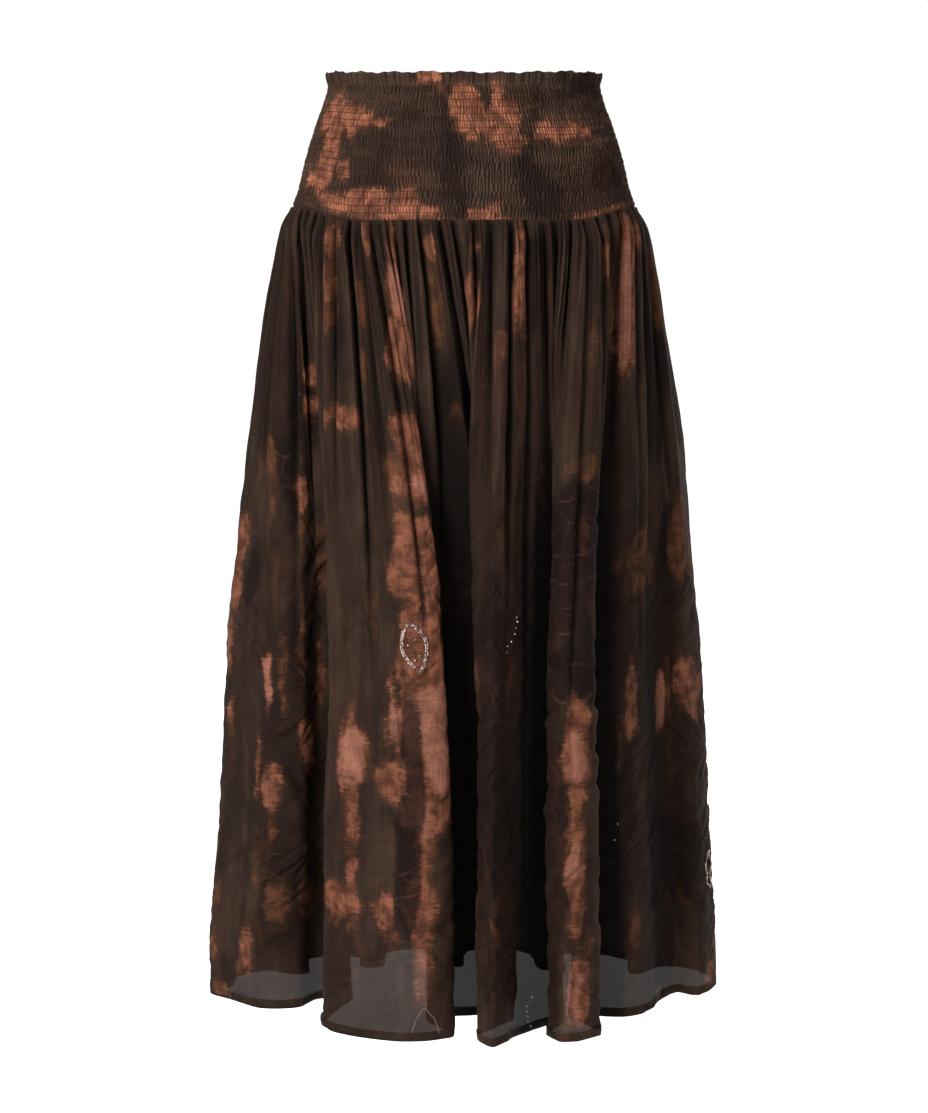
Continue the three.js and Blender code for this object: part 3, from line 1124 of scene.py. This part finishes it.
def soft_noise(tree, vector, scale, detail=3.0, rough=0.55):
    """Noise from about 0 to 1 in the cloth's metres, with its own scale on each axis."""
    node = add_node(tree, "ShaderNodeTexNoise", noise_dimensions="3D")
    feed(tree, node.inputs["Vector"], stretched(tree, vector, scale))
    node.inputs["Scale"].default_value = 1.0
    node.inputs["Detail"].default_value = detail
    node.inputs["Roughness"].default_value = rough
    return node.outputs["Fac"]


def new_group(name, inputs, outputs):
    group = bpy.data.node_groups.new(name, "ShaderNodeTree")
    for title, kind in inputs:
        group.interface.new_socket(name=title, in_out="INPUT", socket_type=kind)
    for title, kind in outputs:
        group.interface.new_socket(name=title, in_out="OUTPUT", socket_type=kind)
    return group, add_node(group, "NodeGroupInput"), add_node(group, "NodeGroupOutput")


def new_material(name):
    """A material with its node tree and its shader."""
    material = bpy.data.materials.new(name)
    material.use_nodes = True
    return material, material.node_tree, material.node_tree.nodes["Principled BSDF"]


def bleeding_edge(tree, vector, depth, spread, low, high):
    """A patch's mask from its depth, with an edge that has crept along the threads."""
    broad = soft_noise(tree, vector, (17, 12, 1), 2.0, 0.5)
    wide = soft_noise(tree, vector, (64, 32, 1), 4.0, 0.65)
    fine = soft_noise(tree, vector, (85, 400, 1), 4.0, 0.7)
    crept = weighted(tree, (broad, 1.4), (wide, 1.3), (fine, 1.1))
    crept = times(tree, minus(tree, crept, EDGE_MEAN), spread)
    return step_up(tree, plus(tree, depth, crept), low, high)


def bent_cloth(tree, cloth):
    """The cloth's place, pushed about by a slow noise."""
    bends = add_node(tree, "ShaderNodeTexNoise", noise_dimensions="3D")
    feed(tree, bends.inputs["Vector"], stretched(tree, cloth, (13, 13, 1)))
    bends.inputs["Scale"].default_value = 1.0
    bends.inputs["Detail"].default_value = 1.5
    bent = add_node(tree, "ShaderNodeVectorMath", operation="ADD")
    feed(tree, bent.inputs[0], cloth)
    feed(tree, bent.inputs[1], stretched(tree, bends.outputs["Color"], (0.035, 0.022, 0)))
    return bent.outputs[0]


def thin_lines(tree, value, width):
    """1 along the lines where a value passes a whole number and a half, 0 between them."""
    share = calculate(tree, "FRACT", value)
    away = calculate(tree, "ABSOLUTE", minus(tree, share, 0.5))
    return minus(tree, 1.0, step_up(tree, away, 0.0, width))


def net_lines(tree, cloth, bent):
    """Faint ladder lines across the folds and rings like those of smoke."""
    parts = add_node(tree, "ShaderNodeSeparateXYZ")
    feed(tree, parts.inputs[0], cloth)
    sway = soft_noise(tree, cloth, (13, 9, 1), 2.0, 0.5)
    ladder = weighted(tree, (parts.outputs["Y"], LADDER_LINES), (sway, 2.6))
    ladder = thin_lines(tree, ladder, 0.07)
    rings = soft_noise(tree, bent, (15, 19, 1), 1.0, 0.4)
    rings = thin_lines(tree, times(tree, rings, 7.0), 0.08)
    broken = step_up(tree, soft_noise(tree, cloth, (30, 34, 1), 3.0, 0.6), 0.40, 0.62)
    return times(tree, larger(tree, ladder, times(tree, rings, 0.8)), broken)


def dye_group():
    """Tie-dye: olive brown cloth, darker bands, and rust patches with ochre haze and dark veins."""
    inputs = [("Cloth", "NodeSocketVector")]
    inputs += [(kind.capitalize() + " depth", "NodeSocketFloat") for kind in DYE_KINDS]
    inputs += [(colour, "NodeSocketColor") for colour in DYE_COLOURS]
    outputs = [("Color", "NodeSocketColor"), ("Dyed", "NodeSocketFloat")]
    group, given, result = new_group("Tie dye", inputs, outputs)
    cloth = given.outputs["Cloth"]
    bent = bent_cloth(group, cloth)

    def edge(kind, vector, spread, low, high):
        depth = given.outputs[kind.capitalize() + " depth"]
        return bleeding_edge(group, vector, depth, spread, low, high)

    def clouds(vector, scale, detail, rough, low, high):
        return step_up(group, soft_noise(group, vector, scale, detail, rough), low, high)

    def spotted(mask, slope, base):
        return times(group, mask, plus(group, times(group, spots, slope), base))

    def stained(colour, mask, stain):
        return mix_colour(group, mask, colour, given.outputs[stain])

    # The ground: olive, lighter in places, with broad brown, smoke and plum
    streaks = soft_noise(group, cloth, (75, 6, 1), 4.0, 0.6)
    drifts = soft_noise(group, bent, (16, 11, 1), 4.0, 0.6)
    lit = step_up(group, weighted(group, (streaks, 0.5), (drifts, 0.5)), 0.40, 0.60)
    colour = stained(given.outputs["Olive"], lit, "Lit olive")
    patchy = clouds(bent, (24, 5, 1), 3.0, 0.55, 0.46, 0.66)
    broad = edge("brown", bent, 32.5, -6.0, 16.0)
    brown = larger(group, times(group, patchy, 0.7), times(group, broad, 0.92))
    colour = stained(colour, brown, "Brown")
    smoke = clouds(bent, (30, 13, 1), 5.0, 0.62, 0.46, 0.66)
    smoke = times(group, smoke, plus(group, times(group, broad, 0.5), 0.18))
    colour = stained(colour, smoke, "Plum")
    plum = edge("plum", bent, 20.0, -5.0, 9.0)
    colour = stained(colour, times(group, plum, 0.88), "Plum")

    # The patches: ochre and a haze of it, rust, its pale middles and its dark veins
    mottle = soft_noise(group, bent, (52, 60, 1), 4.0, 0.6)
    threads = soft_noise(group, cloth, (240, 22, 1), 3.0, 0.6)
    spots = step_up(group, weighted(group, (mottle, 0.8), (threads, 0.2)), 0.38, 0.64)
    ochre = spotted(edge("ochre", cloth, 15.0, -3.0, 5.0), 0.75, 0.15)
    scattered = clouds(bent, (34, 10, 1), 5.0, 0.62, 0.53, 0.70)
    ochre = larger(group, ochre, times(group, scattered, 0.22))
    colour = stained(colour, ochre, "Ochre")
    haze = spotted(edge("rust", cloth, 16.25, -5.0, 3.0), 0.5, 0.25)
    colour = stained(colour, haze, "Ochre")
    rust = edge("rust", cloth, 15.0, -0.8, 3.0)
    rusty = stained(given.outputs["Dark rust"], spots, "Rust")
    colour = mix_colour(group, times(group, rust, 0.94), colour, rusty)
    pale = spotted(edge("pale", cloth, 12.5, -1.5, 4.5), 0.3, 0.65)
    colour = stained(colour, pale, "Pale rust")
    veins = times(group, soft_noise(group, bent, (48, 70, 1), 2.0, 0.5), 6.0)
    veins = times(group, times(group, thin_lines(group, veins, 0.10), rust), 0.3)
    colour = stained(colour, veins, "Brown")

    # The dark bands over the patches, and the faint net over all
    band = edge("band", cloth, 8.75, -2.0, 2.5)
    colour = stained(colour, times(group, band, 0.85), "Plum")
    netted = edge("net", bent, 17.5, -4.0, 7.0)
    faint = weighted(group, (netted, 0.11), (broad, 0.04))
    netted = times(group, net_lines(group, cloth, bent), faint)
    colour = stained(colour, netted, "Pale rust")
    feed(group, result.inputs["Color"], colour)
    feed(group, result.inputs["Dyed"], rust)
    return group


def slant_creases(tree, cloth, turn, seed):
    """Thin broken creases that run at a slant."""
    turned = add_node(tree, "ShaderNodeVectorRotate", rotation_type="Z_AXIS")
    feed(tree, turned.inputs["Vector"], cloth)
    turned.inputs["Angle"].default_value = turn
    moved = add_node(tree, "ShaderNodeVectorMath", operation="ADD")
    feed(tree, moved.inputs[0], turned.outputs[0])
    moved.inputs[1].default_value = (seed, seed, 0)
    lines = soft_noise(tree, moved.outputs[0], (8, 34, 1), 1.5, 0.5)
    lines = thin_lines(tree, times(tree, lines, 3.0), 0.28)
    broken = soft_noise(tree, moved.outputs[0], (9, 12, 1), 2.0, 0.5)
    return times(tree, lines, step_up(tree, broken, 0.46, 0.6))


def weave_group():
    """Fine voile: thin and thick threads both ways, the crinkle of cloth that has been tied, the
    fine upright creases below the gathered seam and slanting ones further down, and a mask of shade
    painted into these creases."""
    outputs = [("Shade", "NodeSocketFloat"), ("Height", "NodeSocketFloat")]
    outputs += [("Painted crease shade", "NodeSocketFloat")]
    group, given, result = new_group("Voile weave", [("Cloth", "NodeSocketVector")], outputs)
    cloth = given.outputs["Cloth"]
    parts = add_node(group, "ShaderNodeSeparateXYZ")
    feed(group, parts.inputs[0], cloth)
    near_seam = step_up(group, parts.outputs["Y"], -0.40, -0.05)
    below = step_up(group, parts.outputs["Y"], -0.16, -0.42)
    upright = soft_noise(group, cloth, (210, 5, 1), 3.0, 0.6)
    upright = minus(group, 1.0, step_up(group, upright, 0.38, 0.52))
    creased = times(group, upright, near_seam)
    across = soft_noise(group, cloth, (900, 45, 1), 2.0, 0.5)
    along = soft_noise(group, cloth, (45, 900, 1), 2.0, 0.5)
    threads = weighted(group, (across, 0.5), (along, 0.5))
    crinkle = soft_noise(group, cloth, (260, 90, 1), 3.0, 0.6)
    shade = add_node(group, "ShaderNodeMapRange")
    feed(group, shade.inputs["Value"], threads)
    limits = {"From Min": 0.25, "From Max": 0.75, "To Min": 0.7, "To Max": 1.3}
    for title, limit in limits.items():
        shade.inputs[title].default_value = limit
    feed(group, result.inputs["Shade"], shade.outputs["Result"])
    rising = slant_creases(group, cloth, 0.62, 5.0)
    falling = slant_creases(group, cloth, -0.55, 9.0)
    slanting = times(group, larger(group, rising, falling), below)
    height = weighted(group, (threads, 0.25), (crinkle, 0.9))
    height = minus(group, height, times(group, creased, 0.9))
    height = minus(group, height, times(group, slanting, 2.6))
    # Painted shade: the creases' mask also darkens the colour, through the crease shade output
    creased = larger(group, creased, times(group, slanting, 0.55))
    feed(group, result.inputs["Painted crease shade"], creased)
    feed(group, result.inputs["Height"], height)
    return group


def elastic_lines(tree, down, dyed):
    """How strongly the dark line of an elastic row shows, more on the rust than on the olive."""
    pitch = seam_depth() / ELASTIC_ROWS * MM
    share = calculate(tree, "FRACT", calculate(tree, "DIVIDE", down, pitch))
    nearest = calculate(tree, "ABSOLUTE", minus(tree, share, 0.5))
    line = step_up(tree, nearest, 0.4, 0.48)
    shirred = step_up(tree, down, 0.0015, 0.0005)
    strength = plus(tree, times(tree, dyed, 0.45), 0.25)
    return times(tree, times(tree, line, shirred), strength)


def cloth_material(name, settings, elastic):
    """The dyed voile, with shade painted into its gathers, hollows and creases; on the yoke, also
    the dark lines of its elastic rows and a painted lightening.
    """
    material, tree, shader = new_material(name)
    cloth = add_node(tree, "ShaderNodeUVMap", uv_map="cloth").outputs["UV"]
    parts = add_node(tree, "ShaderNodeSeparateXYZ")
    feed(tree, parts.inputs[0], cloth)
    dye = add_node(tree, "ShaderNodeGroup", node_tree=bpy.data.node_groups["Tie dye"])
    weave = add_node(tree, "ShaderNodeGroup", node_tree=bpy.data.node_groups["Voile weave"])
    feed(tree, dye.inputs["Cloth"], cloth)
    if elastic:
        # Drawn up by the elastic, the dye runs up and down the puckers.
        upright = add_node(tree, "ShaderNodeCombineXYZ")
        feed(tree, upright.inputs["X"], parts.outputs["Y"])
        feed(tree, upright.inputs["Y"], parts.outputs["X"])
        feed(tree, dye.inputs["Cloth"], upright.outputs[0])
    feed(tree, weave.inputs["Cloth"], cloth)
    for kind in DYE_KINDS:
        depth = add_node(tree, "ShaderNodeAttribute", attribute_name="dye_" + kind)
        feed(tree, dye.inputs[kind.capitalize() + " depth"], depth.outputs["Fac"])
    for title in DYE_COLOURS:
        chosen = getattr(settings, title.lower().replace(" ", "_"))
        dye.inputs[title].default_value = (*chosen, 1)
    colour = mix_colour(tree, 1.0, dye.outputs["Color"], weave.outputs["Shade"], "MULTIPLY")
    # Painted shade: the gathers' closed valleys, the recesses behind the folds and the yoke's
    # puckers are darkened towards near black
    painted_shade = add_node(tree, "ShaderNodeAttribute", attribute_name="painted_shade").outputs["Fac"]
    darkest_painted_shade = SHIRRED_SHADE if elastic else GATHERED_SHADE
    shaded = times(tree, step_up(tree, painted_shade, 0.2, 1.0), darkest_painted_shade)
    if not elastic:
        # Painted shade in the creases below the seam and further down
        shaded = larger(tree, shaded, times(tree, weave.outputs["Painted crease shade"], 0.5))
    # The painted shade is weaker on the rust
    shaded = times(tree, shaded, minus(tree, 1.0, times(tree, dye.outputs["Dyed"], 0.3)))
    colour = mix_colour(tree, shaded, colour, (0.0025, 0.0017, 0.0014, 1))
    if elastic:
        # Painted light: the yoke's colour is made lighter than the skirt's
        colour = mix_colour(tree, 1.0, colour, YOKE_PAINTED_LIGHT, "MULTIPLY")
        line = elastic_lines(tree, parts.outputs["Y"], dye.outputs["Dyed"])
        colour = mix_colour(tree, line, colour, (0.006, 0.004, 0.004, 1))
    feed(tree, shader.inputs["Base Color"], colour)
    bump = add_node(tree, "ShaderNodeBump")
    bump.inputs["Strength"].default_value = 0.6
    bump.inputs["Distance"].default_value = 0.0012
    feed(tree, bump.inputs["Height"], weave.outputs["Height"])
    feed(tree, shader.inputs["Normal"], bump.outputs["Normal"])
    shader.inputs["Roughness"].default_value = 0.78
    shader.inputs["Specular IOR Level"].default_value = 0.08
    shader.inputs["Sheen Weight"].default_value = 0.02
    shader.inputs["Sheen Roughness"].default_value = 0.4
    shader.inputs["Sheen Tint"].default_value = (1.0, 0.82, 0.7, 1)
    if not elastic:
        shader.inputs["Alpha"].default_value = VOILE_COVER
    return material


def mottled_material(name, scale, detail, dark, light, low=None, high=None):
    """A finish whose colour varies between two, and its shader."""
    material, tree, shader = new_material(name)
    place = add_node(tree, "ShaderNodeTexCoord").outputs["Object"]
    varied = soft_noise(tree, place, (scale, scale, scale), detail, 0.5)
    if low is not None:
        varied = step_up(tree, varied, low, high)
    feed(tree, shader.inputs["Base Color"], mix_colour(tree, varied, dark, light))
    return shader


def bead_material():
    """Small glass beads, pinkish silver, each a little different."""
    dark, light = (0.16, 0.075, 0.06, 1), (0.62, 0.46, 0.42, 1)
    shader = mottled_material("silvery beads", 400, 1.0, dark, light, 0.42, 0.6)
    shader.inputs["Roughness"].default_value = 0.18
    shader.inputs["Metallic"].default_value = 0.35
    shader.inputs["Coat Weight"].default_value = 0.6


def thread_material(name, dark, light):
    """Sewing thread with a soft twist."""
    shader = mottled_material(name, 900, 2.0, dark, light)
    shader.inputs["Roughness"].default_value = 0.7


# Beads and stitches


def sheet_points(name):
    """A finished panel's points, in rows from the lowest edge up."""
    mesh = bpy.data.objects[name].data
    flat = np.empty(len(mesh.vertices) * 3, np.float32)
    mesh.vertices.foreach_get("co", flat)
    return flat.reshape(PANEL_ROWS + 1, PANEL_COLUMNS + 1, 3).astype(float)


def on_panel(points, start, end, across, share):
    """Place on a finished panel, the direction out of it and the one along its row, for a place
    across and a share of the drop."""
    column = (across - start) / (end - start) * PANEL_COLUMNS
    row = TURNED_ROWS + (1 - share) * (PANEL_ROWS - TURNED_ROWS)
    i = int(min(max(math.floor(column), 0), PANEL_COLUMNS - 1))
    j = int(min(max(math.floor(row), 0), PANEL_ROWS - 1))
    u, v = column - i, row - j
    low = points[j, i] * (1 - u) + points[j, i + 1] * u
    high = points[j + 1, i] * (1 - u) + points[j + 1, i + 1] * u
    normal = np.cross(points[j, i + 1] - points[j, i], points[j + 1, i] - points[j, i])
    normal /= np.linalg.norm(normal)
    return low * (1 - v) + high * v, normal, (points[j, i + 1] - points[j, i])


def leaf_outline(half_wide, half_high, turn, count):
    """Points of a leaf's outline: two arcs that meet in a tip above and below."""
    cos, sin = math.cos(math.radians(turn)), math.sin(math.radians(turn))
    points = []
    for side in (-1, 1):
        for k in range(count):
            t = -1 + 2 * (k + 0.5) / count
            x = side * half_wide * (1 - abs(t) ** 2.0)
            y = half_high * t
            points.append((x * cos - y * sin, x * sin + y * cos))
    return points


def bead_places(find):
    """Places on the cloth, across and down, of every bead of the leaves, front and back."""
    places = []
    ratio = BACK_CLOTH / FRONT_CLOTH
    for column, row, half_wide, half_high, turn in LEAVES:
        middle = find(column, row)
        for dx, dy in leaf_outline(half_wide, half_high, turn, BEADS_ON_A_SIDE):
            places.append((middle[0] + dx, middle[1] + dy))
            behind = WHOLE_CLOTH - middle[0] * ratio - dx
            places.append((behind, middle[1] + dy - LEAF_RAISED_BEHIND))
    for column, row in INNER_BEADS:
        places.append(find(column, row))
    return places


def copied_mesh(name, form, places):
    """One mesh of many copies of a small form, each set with its own matrix."""
    corners = np.array([v.co[:] for v in form.data.vertices])
    faces = [tuple(p.vertices) for p in form.data.polygons]
    points = []
    polygons = []
    for index, (origin, axes) in enumerate(places):
        points.append(corners @ axes + origin)
        polygons += [tuple(i + index * len(corners) for i in face) for face in faces]
    mesh = bpy.data.meshes.new(name)
    mesh.from_pydata(np.concatenate(points).tolist(), [], polygons)
    mesh.update()
    piece = bpy.data.objects.new(name, mesh)
    bpy.context.scene.collection.objects.link(piece)
    bpy.data.objects.remove(form, do_unlink=True)
    return piece


def panel_of(across):
    return PANELS[0] if across < FRONT_CLOTH else PANELS[1]


def sewn_stitches(name, places, material):
    """A piece of stitches, one at each place, in a thread's finish."""
    deselect_all()
    bpy.ops.mesh.primitive_ico_sphere_add(subdivisions=1, radius=1, location=(0, 0, 0))
    stitches = copied_mesh(name, bpy.context.object, places)
    stitches.data.materials.append(bpy.data.materials[material])
    finish_piece(stitches, "stitching")


def drop_share(across, down):
    top = float(seam_height(seam_angle(np.array(across)))) - SEAM_GAP / 2
    return down / (top - HEM)


# The add-on


class SkirtSettings(bpy.types.PropertyGroup):
    olive: bpy.props.FloatVectorProperty(
        name="Olive brown",
        description="The cloth's ground colour",
        default=(0.025, 0.0136, 0.0092),
        subtype="COLOR",
    )
    lit_olive: bpy.props.FloatVectorProperty(
        name="Light olive",
        description="The ground where less dye took",
        default=(0.046, 0.0260, 0.0176),
        subtype="COLOR",
    )
    brown: bpy.props.FloatVectorProperty(
        name="Warm brown",
        description="The broad browner zones",
        default=(0.0215, 0.0106, 0.0070),
        subtype="COLOR",
    )
    plum: bpy.props.FloatVectorProperty(
        name="Plum",
        description="The dark bands",
        default=(0.0120, 0.0060, 0.0050),
        subtype="COLOR",
    )
    dark_rust: bpy.props.FloatVectorProperty(
        name="Dark rust",
        description="The rust where more dye stayed",
        default=(0.082, 0.030, 0.0165),
        subtype="COLOR",
    )
    rust: bpy.props.FloatVectorProperty(
        name="Rust",
        description="The patches where the dye was taken out",
        default=(0.25, 0.090, 0.051),
        subtype="COLOR",
    )
    pale_rust: bpy.props.FloatVectorProperty(
        name="Pale rust",
        description="The pinkish middle of the largest patches",
        default=(0.31, 0.125, 0.083),
        subtype="COLOR",
    )
    ochre: bpy.props.FloatVectorProperty(
        name="Ochre",
        description="The feathered edges of the patches",
        default=(0.125, 0.046, 0.020),
        subtype="COLOR",
    )
    bead_size: bpy.props.FloatProperty(
        name="Bead",
        description="Diameter of a bead",
        default=0.0022,
        unit="LENGTH",
    )
    stitch_length: bpy.props.FloatProperty(
        name="Stitch",
        description="Length of one hem stitch",
        default=0.0026,
        unit="LENGTH",
    )


class SKIRT_OT_finishes(bpy.types.Operator):
    """Make the dyed voile, thread and bead finishes"""

    bl_idname = "skirt.finishes"
    bl_label = "Finishes"

    def execute(self, context):
        dye_group()
        weave_group()
        settings = context.scene.skirt
        cloth_material("dyed voile", settings, False)
        cloth_material("shirred voile", settings, True)
        bead_material()
        thread_material("sewing thread", (0.008, 0.005, 0.004, 1), (0.022, 0.014, 0.010, 1))
        thread_material("pale thread", (0.22, 0.12, 0.09, 1), (0.45, 0.30, 0.24, 1))
        return {"FINISHED"}


class SKIRT_OT_panels(bpy.types.Operator):
    """Drape the gathered front and back panels"""

    bl_idname = "skirt.panels"
    bl_label = "Skirt panels"

    def execute(self, context):
        find = front_finder()
        patches = placed_dye(SKIRT_DYE, find)
        patches += mirrored_patches(patches)
        creases = placed_creases(find)
        sheets = [panel_sheet(name, start, end, patches, creases) for name, start, end in PANELS]
        solids = (("skirt_front", FRONT_CLOTH), ("skirt_back", BACK_CLOTH))
        for piece, (node, width) in zip(sheets, solids):
            piece.data.materials.append(bpy.data.materials["dyed voile"])
            finish_piece(piece, "skirt_cloth", node)
        return {"FINISHED"}


class SKIRT_OT_yoke(bpy.types.Operator):
    """Make the shirred yoke with its frill"""

    bl_idname = "skirt.yoke"
    bl_label = "Shirred yoke"

    def execute(self, context):
        placed = []

        def front_patches(across, down, points):
            placed.extend(placed_dye(YOKE_DYE, seen_cloth(across, down, points)))
            return placed

        def back_patches(across, down, points):
            width = float(across.max())
            patches = []
            for index, (middle, level, half_across, half_down, kind) in enumerate(placed):
                across_back = width - middle + 30 * (float(uneven(index, 41)) - 0.5)
                patches.append((across_back, level, half_across, half_down, kind))
            return patches

        quarter = math.pi / 2
        front = yoke_sheet("yoke_front_cloth", -quarter, quarter, 0.0, front_patches)
        back = yoke_sheet("yoke_back_cloth", quarter, 3 * quarter, 0.4, back_patches)
        for piece, node in ((front, "yoke_front"), (back, "yoke_back")):
            piece.data.materials.append(bpy.data.materials["shirred voile"])
            finish_piece(piece, "yoke_cloth", node)
        return {"FINISHED"}


class SKIRT_OT_beads(bpy.types.Operator):
    """Sew the beaded leaves on"""

    bl_idname = "skirt.beads"
    bl_label = "Beaded leaves"

    def execute(self, context):
        size = context.scene.skirt.bead_size
        deselect_all()
        bpy.ops.mesh.primitive_uv_sphere_add(
            segments=8, ring_count=6, radius=size / 2, location=(0, 0, 0)
        )
        form = context.object
        sheets = {name: sheet_points(name) for name, _, _ in PANELS}
        places = []
        for across, down in bead_places(front_finder()):
            name, start, end = panel_of(across)
            place, normal, _ = on_panel(sheets[name], start, end, across, drop_share(across, down))
            places.append((place + normal * size * 0.4, np.eye(3)))
        beads = copied_mesh("leaf_beads", form, places)
        beads.data.materials.append(bpy.data.materials["silvery beads"])
        finish_piece(beads, "beads")
        return {"FINISHED"}


class SKIRT_OT_hem_stitches(bpy.types.Operator):
    """Run the row of stitches that holds the turned hem"""

    bl_idname = "skirt.hem_stitches"
    bl_label = "Hem stitches"

    def execute(self, context):
        length = context.scene.skirt.stitch_length
        places = []
        for name, start, end in PANELS:
            points = sheet_points(name)
            step = length / MM * 1.25
            for across in np.arange(start + step, end - step, step):
                place, normal, along = on_panel(points, start, end, across, HEM_TURN + 0.001)
                along = along / np.linalg.norm(along)
                down = np.cross(normal, along)
                axes = np.array([along * length / 2, down * THREAD_RADIUS, normal * THREAD_RADIUS])
                places.append((place + normal * 0.1 * MM, axes))
        sewn_stitches("hem_stitches", places, "sewing thread")
        return {"FINISHED"}


class SKIRT_OT_leaf_stitches(bpy.types.Operator):
    """Outline the leaf at the hem in pale thread"""

    bl_idname = "skirt.leaf_stitches"
    bl_label = "Leaf stitches"

    def execute(self, context):
        find = front_finder()
        length = context.scene.skirt.stitch_length
        sheet = sheet_points("skirt_front_cloth")
        corners = np.array([find(column, row) for column, row in THREAD_LEAF])
        steps = np.append(0, np.cumsum(np.hypot(*np.diff(corners, axis=0).T)))
        marks = np.arange(0, steps[-1], length / MM * 0.8)
        across = np.interp(marks, steps, corners[:, 0])
        down = np.interp(marks, steps, corners[:, 1])
        laid = []
        for at, level in zip(across, down):
            laid.append(on_panel(sheet, 0.0, FRONT_CLOTH, at, drop_share(at, level)))
        places = []
        for (place, normal, _), (after, _, _) in zip(laid, laid[1:]):
            along = (after - place) / np.linalg.norm(after - place)
            beside = np.cross(normal, along)
            axes = np.array([along * length / 2, beside * PALE_RADIUS, normal * PALE_RADIUS])
            places.append((place + normal * 0.2 * MM, axes))
        sewn_stitches("leaf_stitches", places, "pale thread")
        return {"FINISHED"}


class SKIRT_OT_stage(bpy.types.Operator):
    """Set the pale floor, the soft light and the camera"""

    bl_idname = "skirt.stage"
    bl_label = "Stage"

    def execute(self, context):
        deselect_all()
        bpy.ops.mesh.primitive_plane_add(size=60, location=(0, 0, FLOOR))
        floor = context.object
        floor.name = "floor"
        pale = bpy.data.materials.new("pale floor")
        pale.use_nodes = True
        shader = pale.node_tree.nodes["Principled BSDF"]
        shader.inputs["Base Color"].default_value = (0.8, 0.8, 0.8, 1)
        rays = add_node(pale.node_tree, "ShaderNodeLightPath")
        seen = rays.outputs["Is Camera Ray"]
        glow = mix_colour(pale.node_tree, seen, (0.1, 0.1, 0.1, 1), (1, 1, 1, 1))
        feed(pale.node_tree, shader.inputs["Emission Color"], glow)
        shader.inputs["Emission Strength"].default_value = 1.0
        shader.inputs["Roughness"].default_value = 0.9
        floor.data.materials.append(pale)
        scene = context.scene
        world = bpy.data.worlds.new("studio")
        world.use_nodes = True
        tree = world.node_tree
        seen = tree.nodes["Background"]
        seen.inputs["Color"].default_value = (1, 1, 1, 1)
        seen.inputs["Strength"].default_value = 1.05
        lights = add_node(tree, "ShaderNodeBackground")
        lights.inputs["Color"].default_value = (1, 0.98, 0.96, 1)
        lights.inputs["Strength"].default_value = 0.24
        both = add_node(tree, "ShaderNodeMixShader")
        rays = add_node(tree, "ShaderNodeLightPath")
        feed(tree, both.inputs[0], rays.outputs["Is Camera Ray"])
        feed(tree, both.inputs[1], lights.outputs[0])
        feed(tree, both.inputs[2], seen.outputs[0])
        feed(tree, tree.nodes["World Output"].inputs["Surface"], both.outputs[0])
        scene.world = world
        lamps = [
            ("key", (-1.7, -2.9, 1.3), 1.4, 135.0),
            ("fill", (1.9, -2.8, 0.3), 2.2, 16.0),
            ("back", (1.9, 3.0, 1.2), 2.0, 80.0),
        ]
        for name, place, size, power in lamps:
            bpy.ops.object.light_add(type="AREA", location=place)
            lamp = context.object
            lamp.name = name
            lamp.data.size = size
            lamp.data.energy = power
            aim = Vector((0, 0, -0.45)) - Vector(place)
            lamp.rotation_euler = aim.to_track_quat("-Z", "Y").to_euler()
        tilt = math.radians(90 - VIEW_TILT)
        stand = (0, -VIEW_DISTANCE * MM, VIEW_HEIGHT * MM)
        bpy.ops.object.camera_add(location=stand, rotation=(tilt, 0, 0))
        camera = context.object
        camera.data.sensor_width = SENSOR
        camera.data.lens = SENSOR * VIEW_DISTANCE / VIEW_ROWS
        camera.data.clip_end = 200
        scene.camera = camera
        scene.view_settings.view_transform = "Standard"
        scene.cycles.transparent_max_bounces = 16
        return {"FINISHED"}


class SKIRT_PT_pieces(bpy.types.Panel):
    """The skirt's pieces, in the sidebar"""

    bl_idname = "SKIRT_PT_pieces"
    bl_label = "Shirred maxi skirt"
    bl_space_type = "VIEW_3D"
    bl_region_type = "UI"
    bl_category = "Skirt"

    def draw(self, context):
        for name in SkirtSettings.__annotations__:
            self.layout.prop(context.scene.skirt, name)
        for operator in OPERATORS:
            self.layout.operator(operator.bl_idname)


OPERATORS = (
    SKIRT_OT_finishes,
    SKIRT_OT_panels,
    SKIRT_OT_yoke,
    SKIRT_OT_hem_stitches,
    SKIRT_OT_beads,
    SKIRT_OT_leaf_stitches,
    SKIRT_OT_stage,
)
CLASSES = (SkirtSettings, *OPERATORS, SKIRT_PT_pieces)


def register():
    for made_class in CLASSES:
        bpy.utils.register_class(made_class)
    bpy.types.Scene.skirt = bpy.props.PointerProperty(type=SkirtSettings)


def unregister():
    del bpy.types.Scene.skirt
    for made_class in reversed(CLASSES):
        bpy.utils.unregister_class(made_class)


def main():
    register()
    bpy.ops.skirt.finishes()
    bpy.ops.skirt.panels()
    bpy.ops.skirt.yoke()
    bpy.ops.skirt.hem_stitches()
    bpy.ops.skirt.beads()
    bpy.ops.skirt.leaf_stitches()
    bpy.ops.skirt.stage()


if __name__ == "__main__":
    main()
